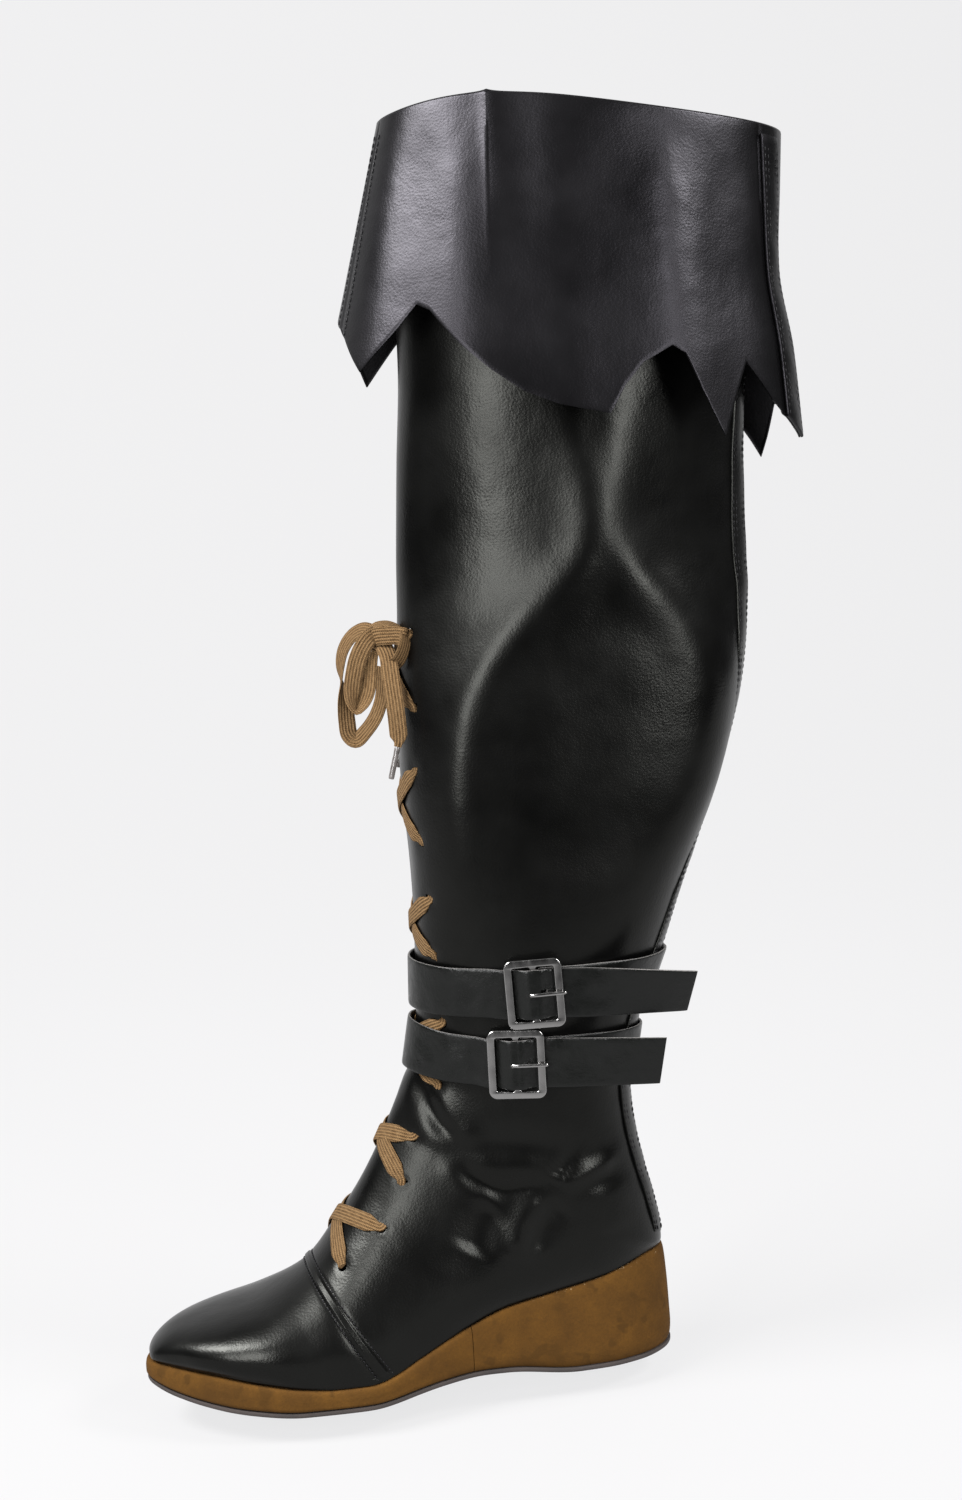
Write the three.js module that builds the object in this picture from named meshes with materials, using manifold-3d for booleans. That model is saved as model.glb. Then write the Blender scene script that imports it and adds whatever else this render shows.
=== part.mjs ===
// Cosplay boot, left: over-knee shaft with a fold-down cuff, two ankle straps and a laced front.
// Millimetres. +X points to the toe, +Y to the boot's outer side, +Z up.
// The origin is on the floor, on the heel's flat spot.
import * as THREE from "three";
import { mergeVertices } from "three/addons/utils/BufferGeometryUtils.js";
import Module from "manifold-3d";

const wasm = await Module();
wasm.setup();

// Clearance between pieces that touch on the real boot.
const gap = 0.3;

// Sole.
const soleLength = 268;
const ballWidth = 92;
const heelSeatBack = 38;
const heelHeight = 52.5;
const platformHeight = 11.5;
const noseRise = 10;
const toeSpring = 11;
const archRise = 5.5;
const outsoleThickness = 2.4;
const outsoleInset = 0.6;
const soleEdgeRound = 2.2;
const heelRake = 1.8;
const jointAlong = 0.407;
const insoleThickness = 3;

// Upper. The back strip starts at a section above the heel's and ends under the cuff.
const wall = 1.6;
const featherInset = 2.4;
const featherGap = 0.7;
const instepHeight = 130;
const bootHeight = 618;
const shaftDepth = 175;
const shaftWidth = 96;
const shaftTurn = THREE.MathUtils.degToRad(5);
const shaftPivot = 30;
const rimCrown = 7;
const backKeen = 1.22;
const seamStep = 0.8;
const backStripWidth = 14;
const backStripShift = 11.5;
const backStripThickness = 0.8;
const backStripStandOff = 0.75;
const backStripStart = 0.6;
const backStripEnd = 0.8;

// Cuff.
const cuffWall = 1.4;
const cuffDrop = 160;
const cuffFlare = 40;
const cuffLip = 14;
const cuffStandOff = 0.9;
const cuffTapeFrom = 0.81;
const cuffTapeTo = 0.885;
const cuffTapeThickness = 0.9;
const cuffTapeGap = 0.39;
const cuffTuck = 6;

// Straps and buckles.
const strapWidth = 24.5;
const strapThickness = 1.5;
const strapStandOff = 0.7;
const strapEndCut = 0.15;
const strapFreeLift = 0.5;
const buckleWidth = 28;
const buckleHeight = 34.5;
const buckleBar = 3.8;
const buckleCentreBar = 3;
const buckleThickness = 1.8;
const buckleCorner = 4;
const prongDiameter = 1.9;

// Lace.
const laceWidth = 8.6;
const laceThickness = 1.2;
const laceHole = 5;
const laceHump = 0.5;
const laceAtHole = 0.72;
const laceTipLength = 15.5;
const laceTipDiameter = 2.8;

const { lerp, clamp } = THREE.MathUtils;
const V = (x, y, z) => new THREE.Vector3(x, y, z);

// Curves through short tables.
function monotone(xs, ys) {
  const last = xs.length - 1;
  const secants = [];
  for (let i = 0; i < last; i++) secants.push((ys[i + 1] - ys[i]) / (xs[i + 1] - xs[i]));
  const slopes = [secants[0]];
  for (let i = 1; i < last; i++) {
    const product = secants[i - 1] * secants[i];
    slopes.push(product <= 0 ? 0 : (2 * product) / (secants[i - 1] + secants[i]));
  }
  slopes.push(secants[last - 1]);
  return (x) => {
    let i = 0;
    while (i < last - 1 && x > xs[i + 1]) i++;
    const width = xs[i + 1] - xs[i];
    const t = clamp((x - xs[i]) / width, 0, 1);
    const s = 1 - t;
    return (
      ys[i] * s * s * (1 + 2 * t) +
      ys[i + 1] * t * t * (3 - 2 * t) +
      width * t * s * (slopes[i] * s - slopes[i + 1] * t)
    );
  };
}

function column(rows, key, place = (row) => row.along) {
  return monotone(
    rows.map(place),
    rows.map((row) => row[key]),
  );
}

// A smooth value between numbered rows.
function between(values, v) {
  const last = values.length - 1;
  const i = clamp(Math.floor(v), 0, last - 1);
  const t = v - i;
  const at = (k) => values[clamp(k, 0, last)];
  const [a, b, c, d] = [at(i - 1), at(i), at(i + 1), at(i + 2)];
  return b + 0.5 * t * (c - a + t * (2 * a - 5 * b + 4 * c - d + t * (3 * (b - c) + d - a)));
}

// Solids from points and faces, and their joins and cuts.
function solid(points, faces) {
  const raw = new THREE.BufferGeometry();
  const numbers = points.flatMap((p) => [p.x, p.y, p.z]);
  raw.setAttribute("position", new THREE.Float32BufferAttribute(numbers, 3));
  raw.setIndex(faces.flat());
  const merged = mergeVertices(raw, 1e-3);
  const source = merged.index.array;
  const kept = [];
  for (let i = 0; i < source.length; i += 3) {
    const [a, b, c] = [source[i], source[i + 1], source[i + 2]];
    if (a !== b && b !== c && c !== a) kept.push([a, b, c]);
  }
  const at = (i) => new THREE.Vector3().fromBufferAttribute(merged.attributes.position, i);
  let volume = 0;
  for (const [a, b, c] of kept) volume += at(a).dot(at(b).cross(at(c)));
  merged.setIndex(kept.flatMap(([a, b, c]) => (volume > 0 ? [a, b, c] : [a, c, b])));
  return merged;
}

function toManifold(geometry) {
  let bare = geometry.clone();
  bare.deleteAttribute("normal");
  bare.deleteAttribute("uv");
  bare = mergeVertices(bare, 1e-4);
  const mesh = new wasm.Mesh({
    numProp: 3,
    vertProperties: new Float32Array(bare.attributes.position.array),
    triVerts: new Uint32Array(bare.index.array),
  });
  return new wasm.Manifold(mesh);
}

function fromManifold(manifold) {
  const mesh = manifold.getMesh();
  const geometry = new THREE.BufferGeometry();
  geometry.setAttribute("position", new THREE.BufferAttribute(mesh.vertProperties, 3));
  geometry.setIndex(new THREE.BufferAttribute(mesh.triVerts, 1));
  return geometry;
}

// Quads between two runs of points, by index.
function bridge(faces, from, to, count, closed) {
  const steps = closed ? count : count - 1;
  for (let i = 0; i < steps; i++) {
    const j = (i + 1) % count;
    faces.push([from + i, from + j, to + j], [from + i, to + j, to + i]);
  }
}

// A closed body swept through sections of the same number of points, capped at both ends.
function sweep(sections) {
  const size = sections[0].length;
  const points = sections.flat();
  const faces = [];
  for (let k = 0; k + 1 < sections.length; k++) bridge(faces, k * size, (k + 1) * size, size, true);
  const lastStart = (sections.length - 1) * size;
  for (let i = 1; i + 1 < size; i++) {
    faces.push([0, i + 1, i], [lastStart, lastStart + i, lastStart + i + 1]);
  }
  return solid(points, faces);
}

// Sole outline: half widths as shares of the ball width, from the heel's back edge to the toe.
const outlineRows = [
  { along: 0, lateral: 0, medial: 0 },
  { along: 0.03, lateral: 0.19, medial: 0.19 },
  { along: 0.08, lateral: 0.29, medial: 0.29 },
  { along: 0.15, lateral: 0.345, medial: 0.345 },
  { along: 0.25, lateral: 0.36, medial: 0.345 },
  { along: 0.38, lateral: 0.385, medial: 0.3 },
  { along: 0.5, lateral: 0.455, medial: 0.33 },
  { along: 0.62, lateral: 0.52, medial: 0.42 },
  { along: 0.72, lateral: 0.508, medial: 0.495 },
  { along: 0.82, lateral: 0.44, medial: 0.47 },
  { along: 0.9, lateral: 0.32, medial: 0.385 },
  { along: 0.96, lateral: 0.19, medial: 0.24 },
  { along: 1, lateral: 0, medial: 0 },
];

// Under side: shares of the arch's rise and of the toe's spring.
const underRows = [
  { along: 0, arch: 0, spring: 0 },
  { along: 0.2, arch: 0, spring: 0 },
  { along: 0.34, arch: 0.88, spring: 0 },
  { along: 0.4, arch: 1, spring: 0 },
  { along: 0.46, arch: 0.84, spring: 0 },
  { along: 0.6, arch: 0, spring: 0 },
  { along: 0.72, arch: 0, spring: 0 },
  { along: 0.85, arch: 0, spring: 0.23 },
  { along: 0.95, arch: 0, spring: 0.64 },
  { along: 1, arch: 0, spring: 1 },
];

// Top side: shares of the rise from the platform to the heel, and of the nose's rise.
const topRows = [
  { along: 0, wedge: 1, nose: 0 },
  { along: 0.05, wedge: 0.995, nose: 0 },
  { along: 0.1, wedge: 0.927, nose: 0 },
  { along: 0.16, wedge: 0.841, nose: 0 },
  { along: 0.25, wedge: 0.739, nose: 0 },
  { along: 0.34, wedge: 0.632, nose: 0 },
  { along: 0.41, wedge: 0.47, nose: 0 },
  { along: 0.46, wedge: 0.34, nose: 0 },
  { along: 0.51, wedge: 0.195, nose: 0 },
  { along: 0.555, wedge: 0.065, nose: 0 },
  { along: 0.6, wedge: 0, nose: 0 },
  { along: 0.66, wedge: 0, nose: 0 },
  { along: 0.72, wedge: 0, nose: 0.14 },
  { along: 0.8, wedge: 0, nose: 0.47 },
  { along: 0.88, wedge: 0, nose: 0.81 },
  { along: 0.95, wedge: 0, nose: 0.95 },
  { along: 1, wedge: 0, nose: 1 },
];

// Places along the sole are turned into an angle, so that both round ends come out round.
const angleOf = (along) => Math.acos(clamp(1 - 2 * along, -1, 1));
const alongOf = (angle) => (1 - Math.cos(angle)) / 2;
const halfWidth = {
  lateral: column(outlineRows, "lateral", (row) => angleOf(row.along)),
  medial: column(outlineRows, "medial", (row) => angleOf(row.along)),
};
const archShare = column(underRows, "arch");
const springShare = column(underRows, "spring");
const wedgeShare = column(topRows, "wedge");
const noseShare = column(topRows, "nose");
const sides = { lateral: 1, medial: -1 };

function soleUnder(along) {
  return archRise * archShare(along) + toeSpring * springShare(along);
}

function soleTop(along) {
  return platformHeight + (heelHeight - platformHeight) * wedgeShare(along) + noseRise * noseShare(along);
}

// The wedge leans in towards its top at the heel.
function rake(along, share = 1) {
  return heelRake * share * (1 - THREE.MathUtils.smoothstep(along, 0, 0.3));
}

function featherPoint(side, along) {
  return outlinePoint(side, angleOf(along), featherInset + rake(along));
}

// A point of the outline, moved inwards by an inset.
function outlinePoint(side, angle, inset) {
  const at = (q) => [soleLength * alongOf(q) - heelSeatBack, ballWidth * halfWidth[side](q)];
  const step = 1e-3;
  const [x0, w0] = at(Math.max(angle - step, 0));
  const [x1, w1] = at(Math.min(angle + step, Math.PI));
  const length = Math.hypot(x1 - x0, w1 - w0);
  const [x, w] = at(angle);
  const atEnd = angle < step || angle > Math.PI - step;
  const inward = atEnd ? [angle < 1 ? 1 : -1, 0] : [(w1 - w0) / length, -(x1 - x0) / length];
  return { x: x + inset * inward[0], w: Math.max(w + inset * inward[1], 0) };
}

// A piece of the sole: loops of the outline, each with its inset and its height.
function solePiece(angles, layers) {
  const count = angles.length;
  const loops = layers.map(({ inset, height }) => {
    const run = (side) =>
      angles.map((angle) => {
        const { x, w } = outlinePoint(side, angle, inset(alongOf(angle)));
        return V(x, sides[side] * w, height(alongOf(angle)));
      });
    return [...run("lateral"), ...run("medial").reverse()];
  });
  const points = loops.flat();
  const faces = [];
  const size = 2 * count;
  for (let k = 0; k + 1 < loops.length; k++) bridge(faces, k * size, (k + 1) * size, size, true);
  const lastStart = (loops.length - 1) * size;
  for (let i = 0; i + 1 < count; i++) {
    const [a, b, c, d] = [i, i + 1, size - 2 - i, size - 1 - i];
    faces.push([a, c, b], [a, d, c]);
    faces.push([lastStart + a, lastStart + b, lastStart + c], [lastStart + a, lastStart + c, lastStart + d]);
  }
  return solid(points, faces);
}

function angleRun(from, to, count) {
  return Array.from({ length: count }, (_, i) => lerp(from, to, i / (count - 1)));
}

const jointAngle = angleOf(jointAlong);
const jointGapAngle = angleOf(jointAlong + gap / soleLength) - jointAngle;
const heelAngles = angleRun(0, jointAngle, 14);
const forefootAngles = angleRun(jointAngle + jointGapAngle, Math.PI, 18);
const soleAngles = [...heelAngles, ...forefootAngles];

const outsoleTop = (along) => soleUnder(along) + outsoleThickness;
const blockUnder = (along) => outsoleTop(along) + gap;

function outsoleGeometry() {
  const edge = outsoleThickness / 3;
  return solePiece(soleAngles, [
    { inset: () => outsoleInset + edge, height: soleUnder },
    { inset: () => outsoleInset, height: (along) => soleUnder(along) + edge },
    { inset: () => outsoleInset, height: outsoleTop },
  ]);
}

// Side of a brown block, from the bottom up: shares of its height, insets in shares of the edge rounding.
const blockSideRows = [
  { share: 0, inset: 0.8 },
  { share: 0.06, inset: 0.25 },
  { share: 0.18, inset: 0 },
  { share: 0.5, inset: 0 },
  { share: 0.8, inset: 0.15 },
  { share: 0.95, inset: 0.4 },
  { share: 1, inset: 0.8 },
];

function blockGeometry(angles) {
  const layers = blockSideRows.map(({ share, inset }) => ({
    inset: (along) => inset * soleEdgeRound + rake(along, share),
    height: (along) => lerp(blockUnder(along), soleTop(along), share),
  }));
  return solePiece(angles, layers);
}

function insoleGeometry() {
  const inset = (along) => featherInset + rake(along) + wall + 4 * gap;
  const height = (share) => (along) => soleTop(along) + gap + insoleThickness * share;
  return solePiece(soleAngles, [
    { inset, height: height(0) },
    { inset, height: height(0.7) },
    { inset: (along) => inset(along) + insoleThickness / 2, height: height(1) },
  ]);
}

// Upper, foot: each section leans from a point of the instep ridge down to the sole.
// front: share of the sole length, up: share of the instep height, foot: where it meets the sole,
// lateral and medial: shares of the ball width, widest: share of the way up, full: 2 is an ellipse.
const footRows = [
  { front: 0.991, up: 0.168, foot: 1, lateral: 0, medial: 0.01, widest: 0.3, full: 2.2 },
  { front: 0.9925, up: 0.2, foot: 0.9965, lateral: 0.078, medial: 0.09, widest: 0.3, full: 2.2 },
  { front: 0.9795, up: 0.236, foot: 0.978, lateral: 0.143, medial: 0.18, widest: 0.3, full: 2.3 },
  { front: 0.9515, up: 0.274, foot: 0.947, lateral: 0.222, medial: 0.268, widest: 0.3, full: 2.35 },
  { front: 0.9104, up: 0.301, foot: 0.9, lateral: 0.327, medial: 0.378, widest: 0.3, full: 2.35 },
  { front: 0.8507, up: 0.332, foot: 0.83, lateral: 0.424, medial: 0.459, widest: 0.28, full: 2.35 },
  { front: 0.7761, up: 0.377, foot: 0.735, lateral: 0.494, medial: 0.487, widest: 0.26, full: 2.3 },
  { front: 0.6922, up: 0.4746, foot: 0.578, lateral: 0.482, medial: 0.415, widest: 0.25, full: 2.15 },
  { front: 0.6343, up: 0.62, foot: 0.46, lateral: 0.437, medial: 0.382, widest: 0.27, full: 2.05 },
  { front: 0.5914, up: 0.7423, foot: 0.31, lateral: 0.402, medial: 0.375, widest: 0.28, full: 2.05 },
  { front: 0.5597, up: 0.85, foot: 0.165, lateral: 0.386, medial: 0.375, widest: 0.3, full: 2.05 },
  { front: 0.5392, up: 0.9308, foot: 0.06, lateral: 0.375, medial: 0.37, widest: 0.33, full: 2.05 },
  { front: 0.5243, up: 0.992, foot: 0, lateral: 0.37, medial: 0.364, widest: 0.38, full: 2.05 },
];
const vampRow = 7;
const heelRow = footRows.length - 1;

// Upper, ankle and shaft: closed sections that turn level.
// front, back: shares of the shaft's depth from its pivot line, up: height in shares of the boot's,
// rear: the same at the back where it differs, lateral and medial: shares of the shaft's width,
// full: squareness of the outer half.
const shaftRows = [
  { front: 0.386, back: 0.349, up: 0.225, rear: 0.1214, lateral: 0.354, medial: 0.349, widest: 0.42, full: 2.05 },
  { front: 0.362, back: 0.32, up: 0.24, rear: 0.157, lateral: 0.354, medial: 0.352, widest: 0.45, full: 2.05 },
  { front: 0.33, back: 0.297, up: 0.259, rear: 0.194, lateral: 0.359, medial: 0.357, widest: 0.47, full: 2.05 },
  { front: 0.315, back: 0.2914, up: 0.285, rear: 0.235, lateral: 0.375, medial: 0.37, widest: 0.5, full: 2.1 },
  { front: 0.31, back: 0.326, up: 0.312, rear: 0.283, lateral: 0.396, medial: 0.385, widest: 0.5, full: 2.1 },
  { front: 0.306, back: 0.398, up: 0.343, rear: 0.3366, lateral: 0.427, medial: 0.41, widest: 0.5, full: 2.2 },
  { front: 0.303, back: 0.454, up: 0.382, lateral: 0.458, medial: 0.43, widest: 0.5, full: 2.35 },
  { front: 0.306, back: 0.51, up: 0.424, lateral: 0.479, medial: 0.45, widest: 0.5, full: 2.5 },
  { front: 0.318, back: 0.59, up: 0.485, lateral: 0.49, medial: 0.47, widest: 0.5, full: 2.6 },
  { front: 0.316, back: 0.656, up: 0.55, lateral: 0.49, medial: 0.47, widest: 0.5, full: 2.45 },
  { front: 0.303, back: 0.687, up: 0.615, lateral: 0.485, medial: 0.47, widest: 0.5, full: 2.0 },
  { front: 0.296, back: 0.692, up: 0.663, lateral: 0.49, medial: 0.475, widest: 0.5, full: 1.75 },
  { front: 0.28, back: 0.692, up: 0.736, lateral: 0.5, medial: 0.485, widest: 0.5, full: 1.9 },
  { front: 0.262, back: 0.709, up: 0.809, lateral: 0.515, medial: 0.5, widest: 0.5, full: 2.1 },
  { front: 0.264, back: 0.765, up: 0.9, lateral: 0.53, medial: 0.52, widest: 0.5, full: 2.15 },
  { front: 0.27, back: 0.82, up: 0.9935, rear: 0.974, lateral: 0.54, medial: 0.53, widest: 0.5, full: 2.1 },
];
const topRow = heelRow + shaftRows.length;

// Sections over which the upper turns from the foot's direction to the shaft's.
const turnStart = heelRow - 2;
const turnEnd = heelRow + 5;

// Share of the way up a side that lies under its widest place: less where that place is low.
const lowerShare = (widest) => lerp(0.25, 0.5, clamp(widest * 8 - 2.2, 0, 1));

// The rows of both tables as real sizes.
const footX = (along) => soleLength * along - heelSeatBack;
const sectionRows = [
  ...footRows.map((row) => ({
    frontX: footX(row.front),
    frontZ: instepHeight * row.up,
    backX: featherPoint("lateral", row.foot).x,
    backZ: soleTop(row.foot) + featherGap,
    foot: row.foot,
    lateral: ballWidth * row.lateral,
    medial: ballWidth * row.medial,
    widest: row.widest,
    fullLateral: row.full,
    fullMedial: row.full,
    crown: 0,
    lower: lowerShare(row.widest),
  })),
  ...shaftRows.map((row, i) => ({
    frontX: shaftPivot + shaftDepth * row.front,
    frontZ: bootHeight * row.up,
    backX: shaftPivot - shaftDepth * row.back,
    backZ: bootHeight * (row.rear ?? row.up),
    foot: 0,
    lateral: shaftWidth * row.lateral,
    medial: shaftWidth * row.medial,
    widest: row.widest,
    fullLateral: row.full,
    fullMedial: 2.1,
    crown: clamp(i - shaftRows.length + 2, 0, 1),
    lower: 0.5,
  })),
];
const rowValues = (key) => sectionRows.map((row) => row[key]);
const sectionKeys = Object.keys(sectionRows[0]);
const sectionColumns = Object.fromEntries(sectionKeys.map((key) => [key, rowValues(key)]));

function sectionAt(v) {
  return Object.fromEntries(sectionKeys.map((key) => [key, between(sectionColumns[key], v)]));
}

// A point of the upper's outer face. v numbers the section, from the toe up to the collar.
// t runs round it: 0 at the outer foot of the section, or the back seam, 0.5 at the front, 1 the inner foot.
function skinPoint(v, t) {
  const row = sectionAt(v);
  const side = t <= 0.5 ? "lateral" : "medial";
  const climb = t <= 0.5 ? 2 * t : 2 * (1 - t);
  const open = v < heelRow;
  const along = clamp(row.foot, 0, 1);
  const foot = open ? featherPoint(side, along) : { x: row.backX, w: 0 };
  const footZ = open ? soleTop(along) + featherGap : row.backZ;
  const widest = Math.max(row[side], foot.w * 1.01 + 0.05);
  const power = 2 / (side === "lateral" ? row.fullLateral : row.fullMedial);
  const startAngle = -Math.acos(clamp(Math.pow(foot.w / widest, 1 / power), 0, 1));
  let share;
  let width;
  if (climb < row.lower) {
    const angle = startAngle * (1 - climb / row.lower);
    const reach = Math.pow(Math.sin(-angle) / Math.sin(-startAngle), power);
    share = row.widest * (1 - reach);
    const keen = lerp(1, backKeen, THREE.MathUtils.smoothstep(v, heelRow, turnEnd));
    width = widest * Math.pow(Math.cos(angle), power * keen);
  } else {
    const angle = (Math.PI / 2) * ((climb - row.lower) / (1 - row.lower));
    share = row.widest + (1 - row.widest) * Math.pow(Math.sin(angle), power);
    width = widest * Math.pow(Math.max(Math.cos(angle), 0), power);
  }
  const x = lerp(foot.x, row.frontX, share);
  const crown = rimCrown * Math.max(row.crown, 0) * Math.sin(Math.PI * Math.pow(share, 2.2));
  const z = lerp(footZ, row.frontZ, share) + crown;
  return turned(x, sides[side] * width, z, v);
}

// The shaft is turned a little inwards on the foot.
function turned(x, y, z, v = turnEnd) {
  const turn = shaftTurn * THREE.MathUtils.smoothstep(v, turnStart, turnEnd);
  const [c, s] = [Math.cos(turn), Math.sin(turn)];
  return V(shaftPivot + (x - shaftPivot) * c + y * s, -(x - shaftPivot) * s + y * c, z);
}

function skinNormal(v, t) {
  const dv = 0.02;
  const dt = 0.004;
  const up = skinPoint(Math.min(v + dv, topRow), t).sub(skinPoint(Math.max(v - dv, 0.001), t));
  const open = v < heelRow;
  const wrap = (s) => (open ? clamp(s, 0, 1) : (s + 1) % 1);
  const round = skinPoint(v, wrap(t + dt)).sub(skinPoint(v, wrap(t - dt)));
  return up.cross(round).normalize();
}

function skin(v, t, off) {
  return skinPoint(v, t).addScaledVector(skinNormal(v, t), off);
}

// Sections of the upper's mesh: the table's rows and places between, with a pair at each edge of the seam.
const seamEdge = 0.03;
const seamShare = 0.12;
const upperSections = [
  0, 0.4, 1, 1.5, 2, 3, 4, 5, 6, 6.5,
  vampRow - seamEdge, vampRow, vampRow + seamShare, vampRow + seamShare + seamEdge,
  7.5, 8, 8.5, 9, 9.5, 10, 10.5, 11, 11.5, 12, 13, 14, 15, 16, 17, 18, 19, 20, 21, 22, 24, 25, 26, 27,
];
const upperColumns = 22;

// How far the upper's outer face stands proud: a stitched bead where the vamp meets the quarters.
function seamRaise(v) {
  const onBead = v >= vampRow - 1e-6 && v <= vampRow + seamShare + 1e-6;
  if (onBead) return seamStep;
  return v > vampRow ? 0 : -seamStep * 0.3;
}

function upperGeometry() {
  const size = upperColumns + 1;
  const outer = [];
  const inner = [];
  for (const v of [...upperSections, topRow]) {
    for (let i = 0; i < size; i++) {
      const t = v < heelRow ? i / upperColumns : (i % upperColumns) / upperColumns;
      const atToe = v === 0;
      const normal = atToe ? V(1, 0, 0) : skinNormal(v, t);
      const point = atToe ? skinPoint(0, 0.5) : skinPoint(v, t);
      const taper = clamp((v - 0.2) * 2, 0, 1);
      const outside = point.clone().addScaledVector(normal, seamRaise(v) * taper);
      const inside = point.clone().addScaledVector(normal, -wall);
      const onEdge = v < heelRow && (i === 0 || i === upperColumns);
      if (onEdge || atToe) {
        outside.z = point.z;
        inside.z = point.z;
      }
      if (v === topRow) inside.z = outside.z;
      outer.push(outside);
      inner.push(inside);
    }
  }
  const points = [...outer, ...inner];
  const shift = outer.length;
  const faces = [];
  const rows = outer.length / size;
  const sectionList = [...upperSections, topRow];
  for (let k = 0; k + 1 < rows; k++) {
    bridge(faces, k * size, (k + 1) * size, size, false);
    bridge(faces, shift + (k + 1) * size, shift + k * size, size, false);
    if (sectionList[k] < heelRow) {
      const [a, b] = [k * size, (k + 1) * size];
      faces.push([a, b, shift + b], [a, shift + b, shift + a]);
      const [c, d] = [a + size - 1, b + size - 1];
      faces.push([c, shift + d, d], [c, shift + c, shift + d]);
    }
  }
  const topStart = (rows - 1) * size;
  bridge(faces, topStart, shift + topStart, size, false);
  return solid(points, faces);
}

// Going round a section from a start of 0, the back, or 0.5, the front: the place that lies a distance
// towards the outer side, or the inner side if the distance is negative.
function around(v, start, distance) {
  const step = 0.002;
  const direction = (start === 0 ? 1 : -1) * Math.sign(distance);
  let t = start;
  let walked = 0;
  let last = skinPoint(v, start);
  while (walked < Math.abs(distance)) {
    t += step * direction;
    const point = skinPoint(v, (t + 1) % 1);
    walked += point.distanceTo(last);
    last = point;
  }
  return (t + 1) % 1;
}

// The section whose point on a given line round the boot lies at a height.
function sectionAtHeight(t, height) {
  let [low, high] = [heelRow - 3, topRow];
  for (let i = 0; i < 30; i++) {
    const middle = (low + high) / 2;
    if (skinPoint(middle, t).z < height) low = middle;
    else high = middle;
  }
  return (low + high) / 2;
}

// Back strip, stitched over the seam of the shaft from the sole to the cuff.
function backStripGeometry() {
  const foot = heelRow + backStripStart;
  const top = sectionAtHeight(0, bootHeight - cuffDrop * backStripEnd);
  const rows = [foot, ...upperSections.filter((v) => v > foot && v < top), top];
  const shares = [-0.5, -0.3, -0.1, 0.1, 0.3, 0.5];
  const sections = rows.map((v) => {
    const places = shares.map((share) => around(v, 0, backStripShift + share * backStripWidth));
    const under = places.map((t) => skin(v, t, backStripStandOff));
    const over = places.map((t) => skin(v, t, backStripStandOff + backStripThickness)).reverse();
    return [...under, ...over];
  });
  return sweep(sections);
}

// Cuff hem, going round from the front seam to the back seam.
// turn: share of the half turn, drop: share of the cuff's full drop.
const hemRows = {
  lateral: [
    { turn: 0, drop: 0.59 },
    { turn: 0.055, drop: 0.63 },
    { turn: 0.12, drop: 0.76 },
    { turn: 0.186, drop: 0.64 },
    { turn: 0.215, drop: 0.58 },
    { turn: 0.239, drop: 0.6 },
    { turn: 0.286, drop: 0.695 },
    { turn: 0.335, drop: 0.78 },
    { turn: 0.38, drop: 0.845 },
    { turn: 0.428, drop: 0.887 },
    { turn: 0.494, drop: 0.92 },
    { turn: 0.513, drop: 0.844 },
    { turn: 0.539, drop: 0.78 },
    { turn: 0.58, drop: 0.735 },
    { turn: 0.599, drop: 0.76 },
    { turn: 0.62, drop: 0.86 },
    { turn: 0.655, drop: 1 },
    { turn: 0.685, drop: 0.88 },
    { turn: 0.712, drop: 0.786 },
    { turn: 0.77, drop: 0.9 },
    { turn: 0.81, drop: 0.945 },
    { turn: 0.848, drop: 0.98 },
    { turn: 0.885, drop: 1.01 },
    { turn: 0.905, drop: 0.93 },
    { turn: 0.95, drop: 0.9 },
    { turn: 1, drop: 0.88 },
  ],
  medial: [
    { turn: 0.05, drop: 0.61 },
    { turn: 0.1, drop: 0.67 },
    { turn: 0.146, drop: 0.78 },
    { turn: 0.2, drop: 0.66 },
    { turn: 0.235, drop: 0.59 },
    { turn: 0.27, drop: 0.62 },
    { turn: 0.34, drop: 0.76 },
    { turn: 0.42, drop: 0.87 },
    { turn: 0.5, drop: 0.92 },
    { turn: 0.54, drop: 0.8 },
    { turn: 0.58, drop: 0.74 },
    { turn: 0.62, drop: 0.84 },
    { turn: 0.655, drop: 0.99 },
    { turn: 0.69, drop: 0.86 },
    { turn: 0.72, drop: 0.8 },
    { turn: 0.789, drop: 0.98 },
    { turn: 0.826, drop: 1.06 },
    { turn: 0.875, drop: 0.9 },
    { turn: 0.94, drop: 0.88 },
  ],
};

// How far the cuff stands out as it falls, in shares of its flare, at the front, side and back.
const flareRows = [
  { along: 0, front: 0, side: 0, back: 0 },
  { along: 0.25, front: 0.25, side: 0.12, back: -0.05 },
  { along: 0.5, front: 0.5, side: 0.27, back: -0.1 },
  { along: 0.75, front: 0.75, side: 0.4, back: 0.06 },
  { along: 1, front: 0.95, side: 0.52, back: 0.14 },
];
const flareShare = {
  front: column(flareRows, "front"),
  side: column(flareRows, "side"),
  back: column(flareRows, "back"),
};

// A fold of the cuff from its rim, on the outer side: place round it, half width, depth and fading.
const cuffCrease = { turn: 0.335, half: 0.05, depth: 2.5, fade: 1.3 };

function cuffSpread(side, turn, drop) {
  const ahead = Math.cos(Math.PI * turn);
  const end = ahead > 0 ? flareShare.front(drop) : flareShare.back(drop);
  const spread = cuffFlare * lerp(flareShare.side(drop), end, ahead * ahead);
  if (side === "medial") return spread;
  const near = clamp(1 - Math.abs(turn - cuffCrease.turn) / cuffCrease.half, 0, 1);
  return spread + cuffCrease.depth * near * clamp(1 - cuffCrease.fade * drop, 0, 1);
}

const sideTurn = (side, turn) => (side === "lateral" ? (1 - turn) / 2 : ((1 + turn) / 2) % 1);

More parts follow.
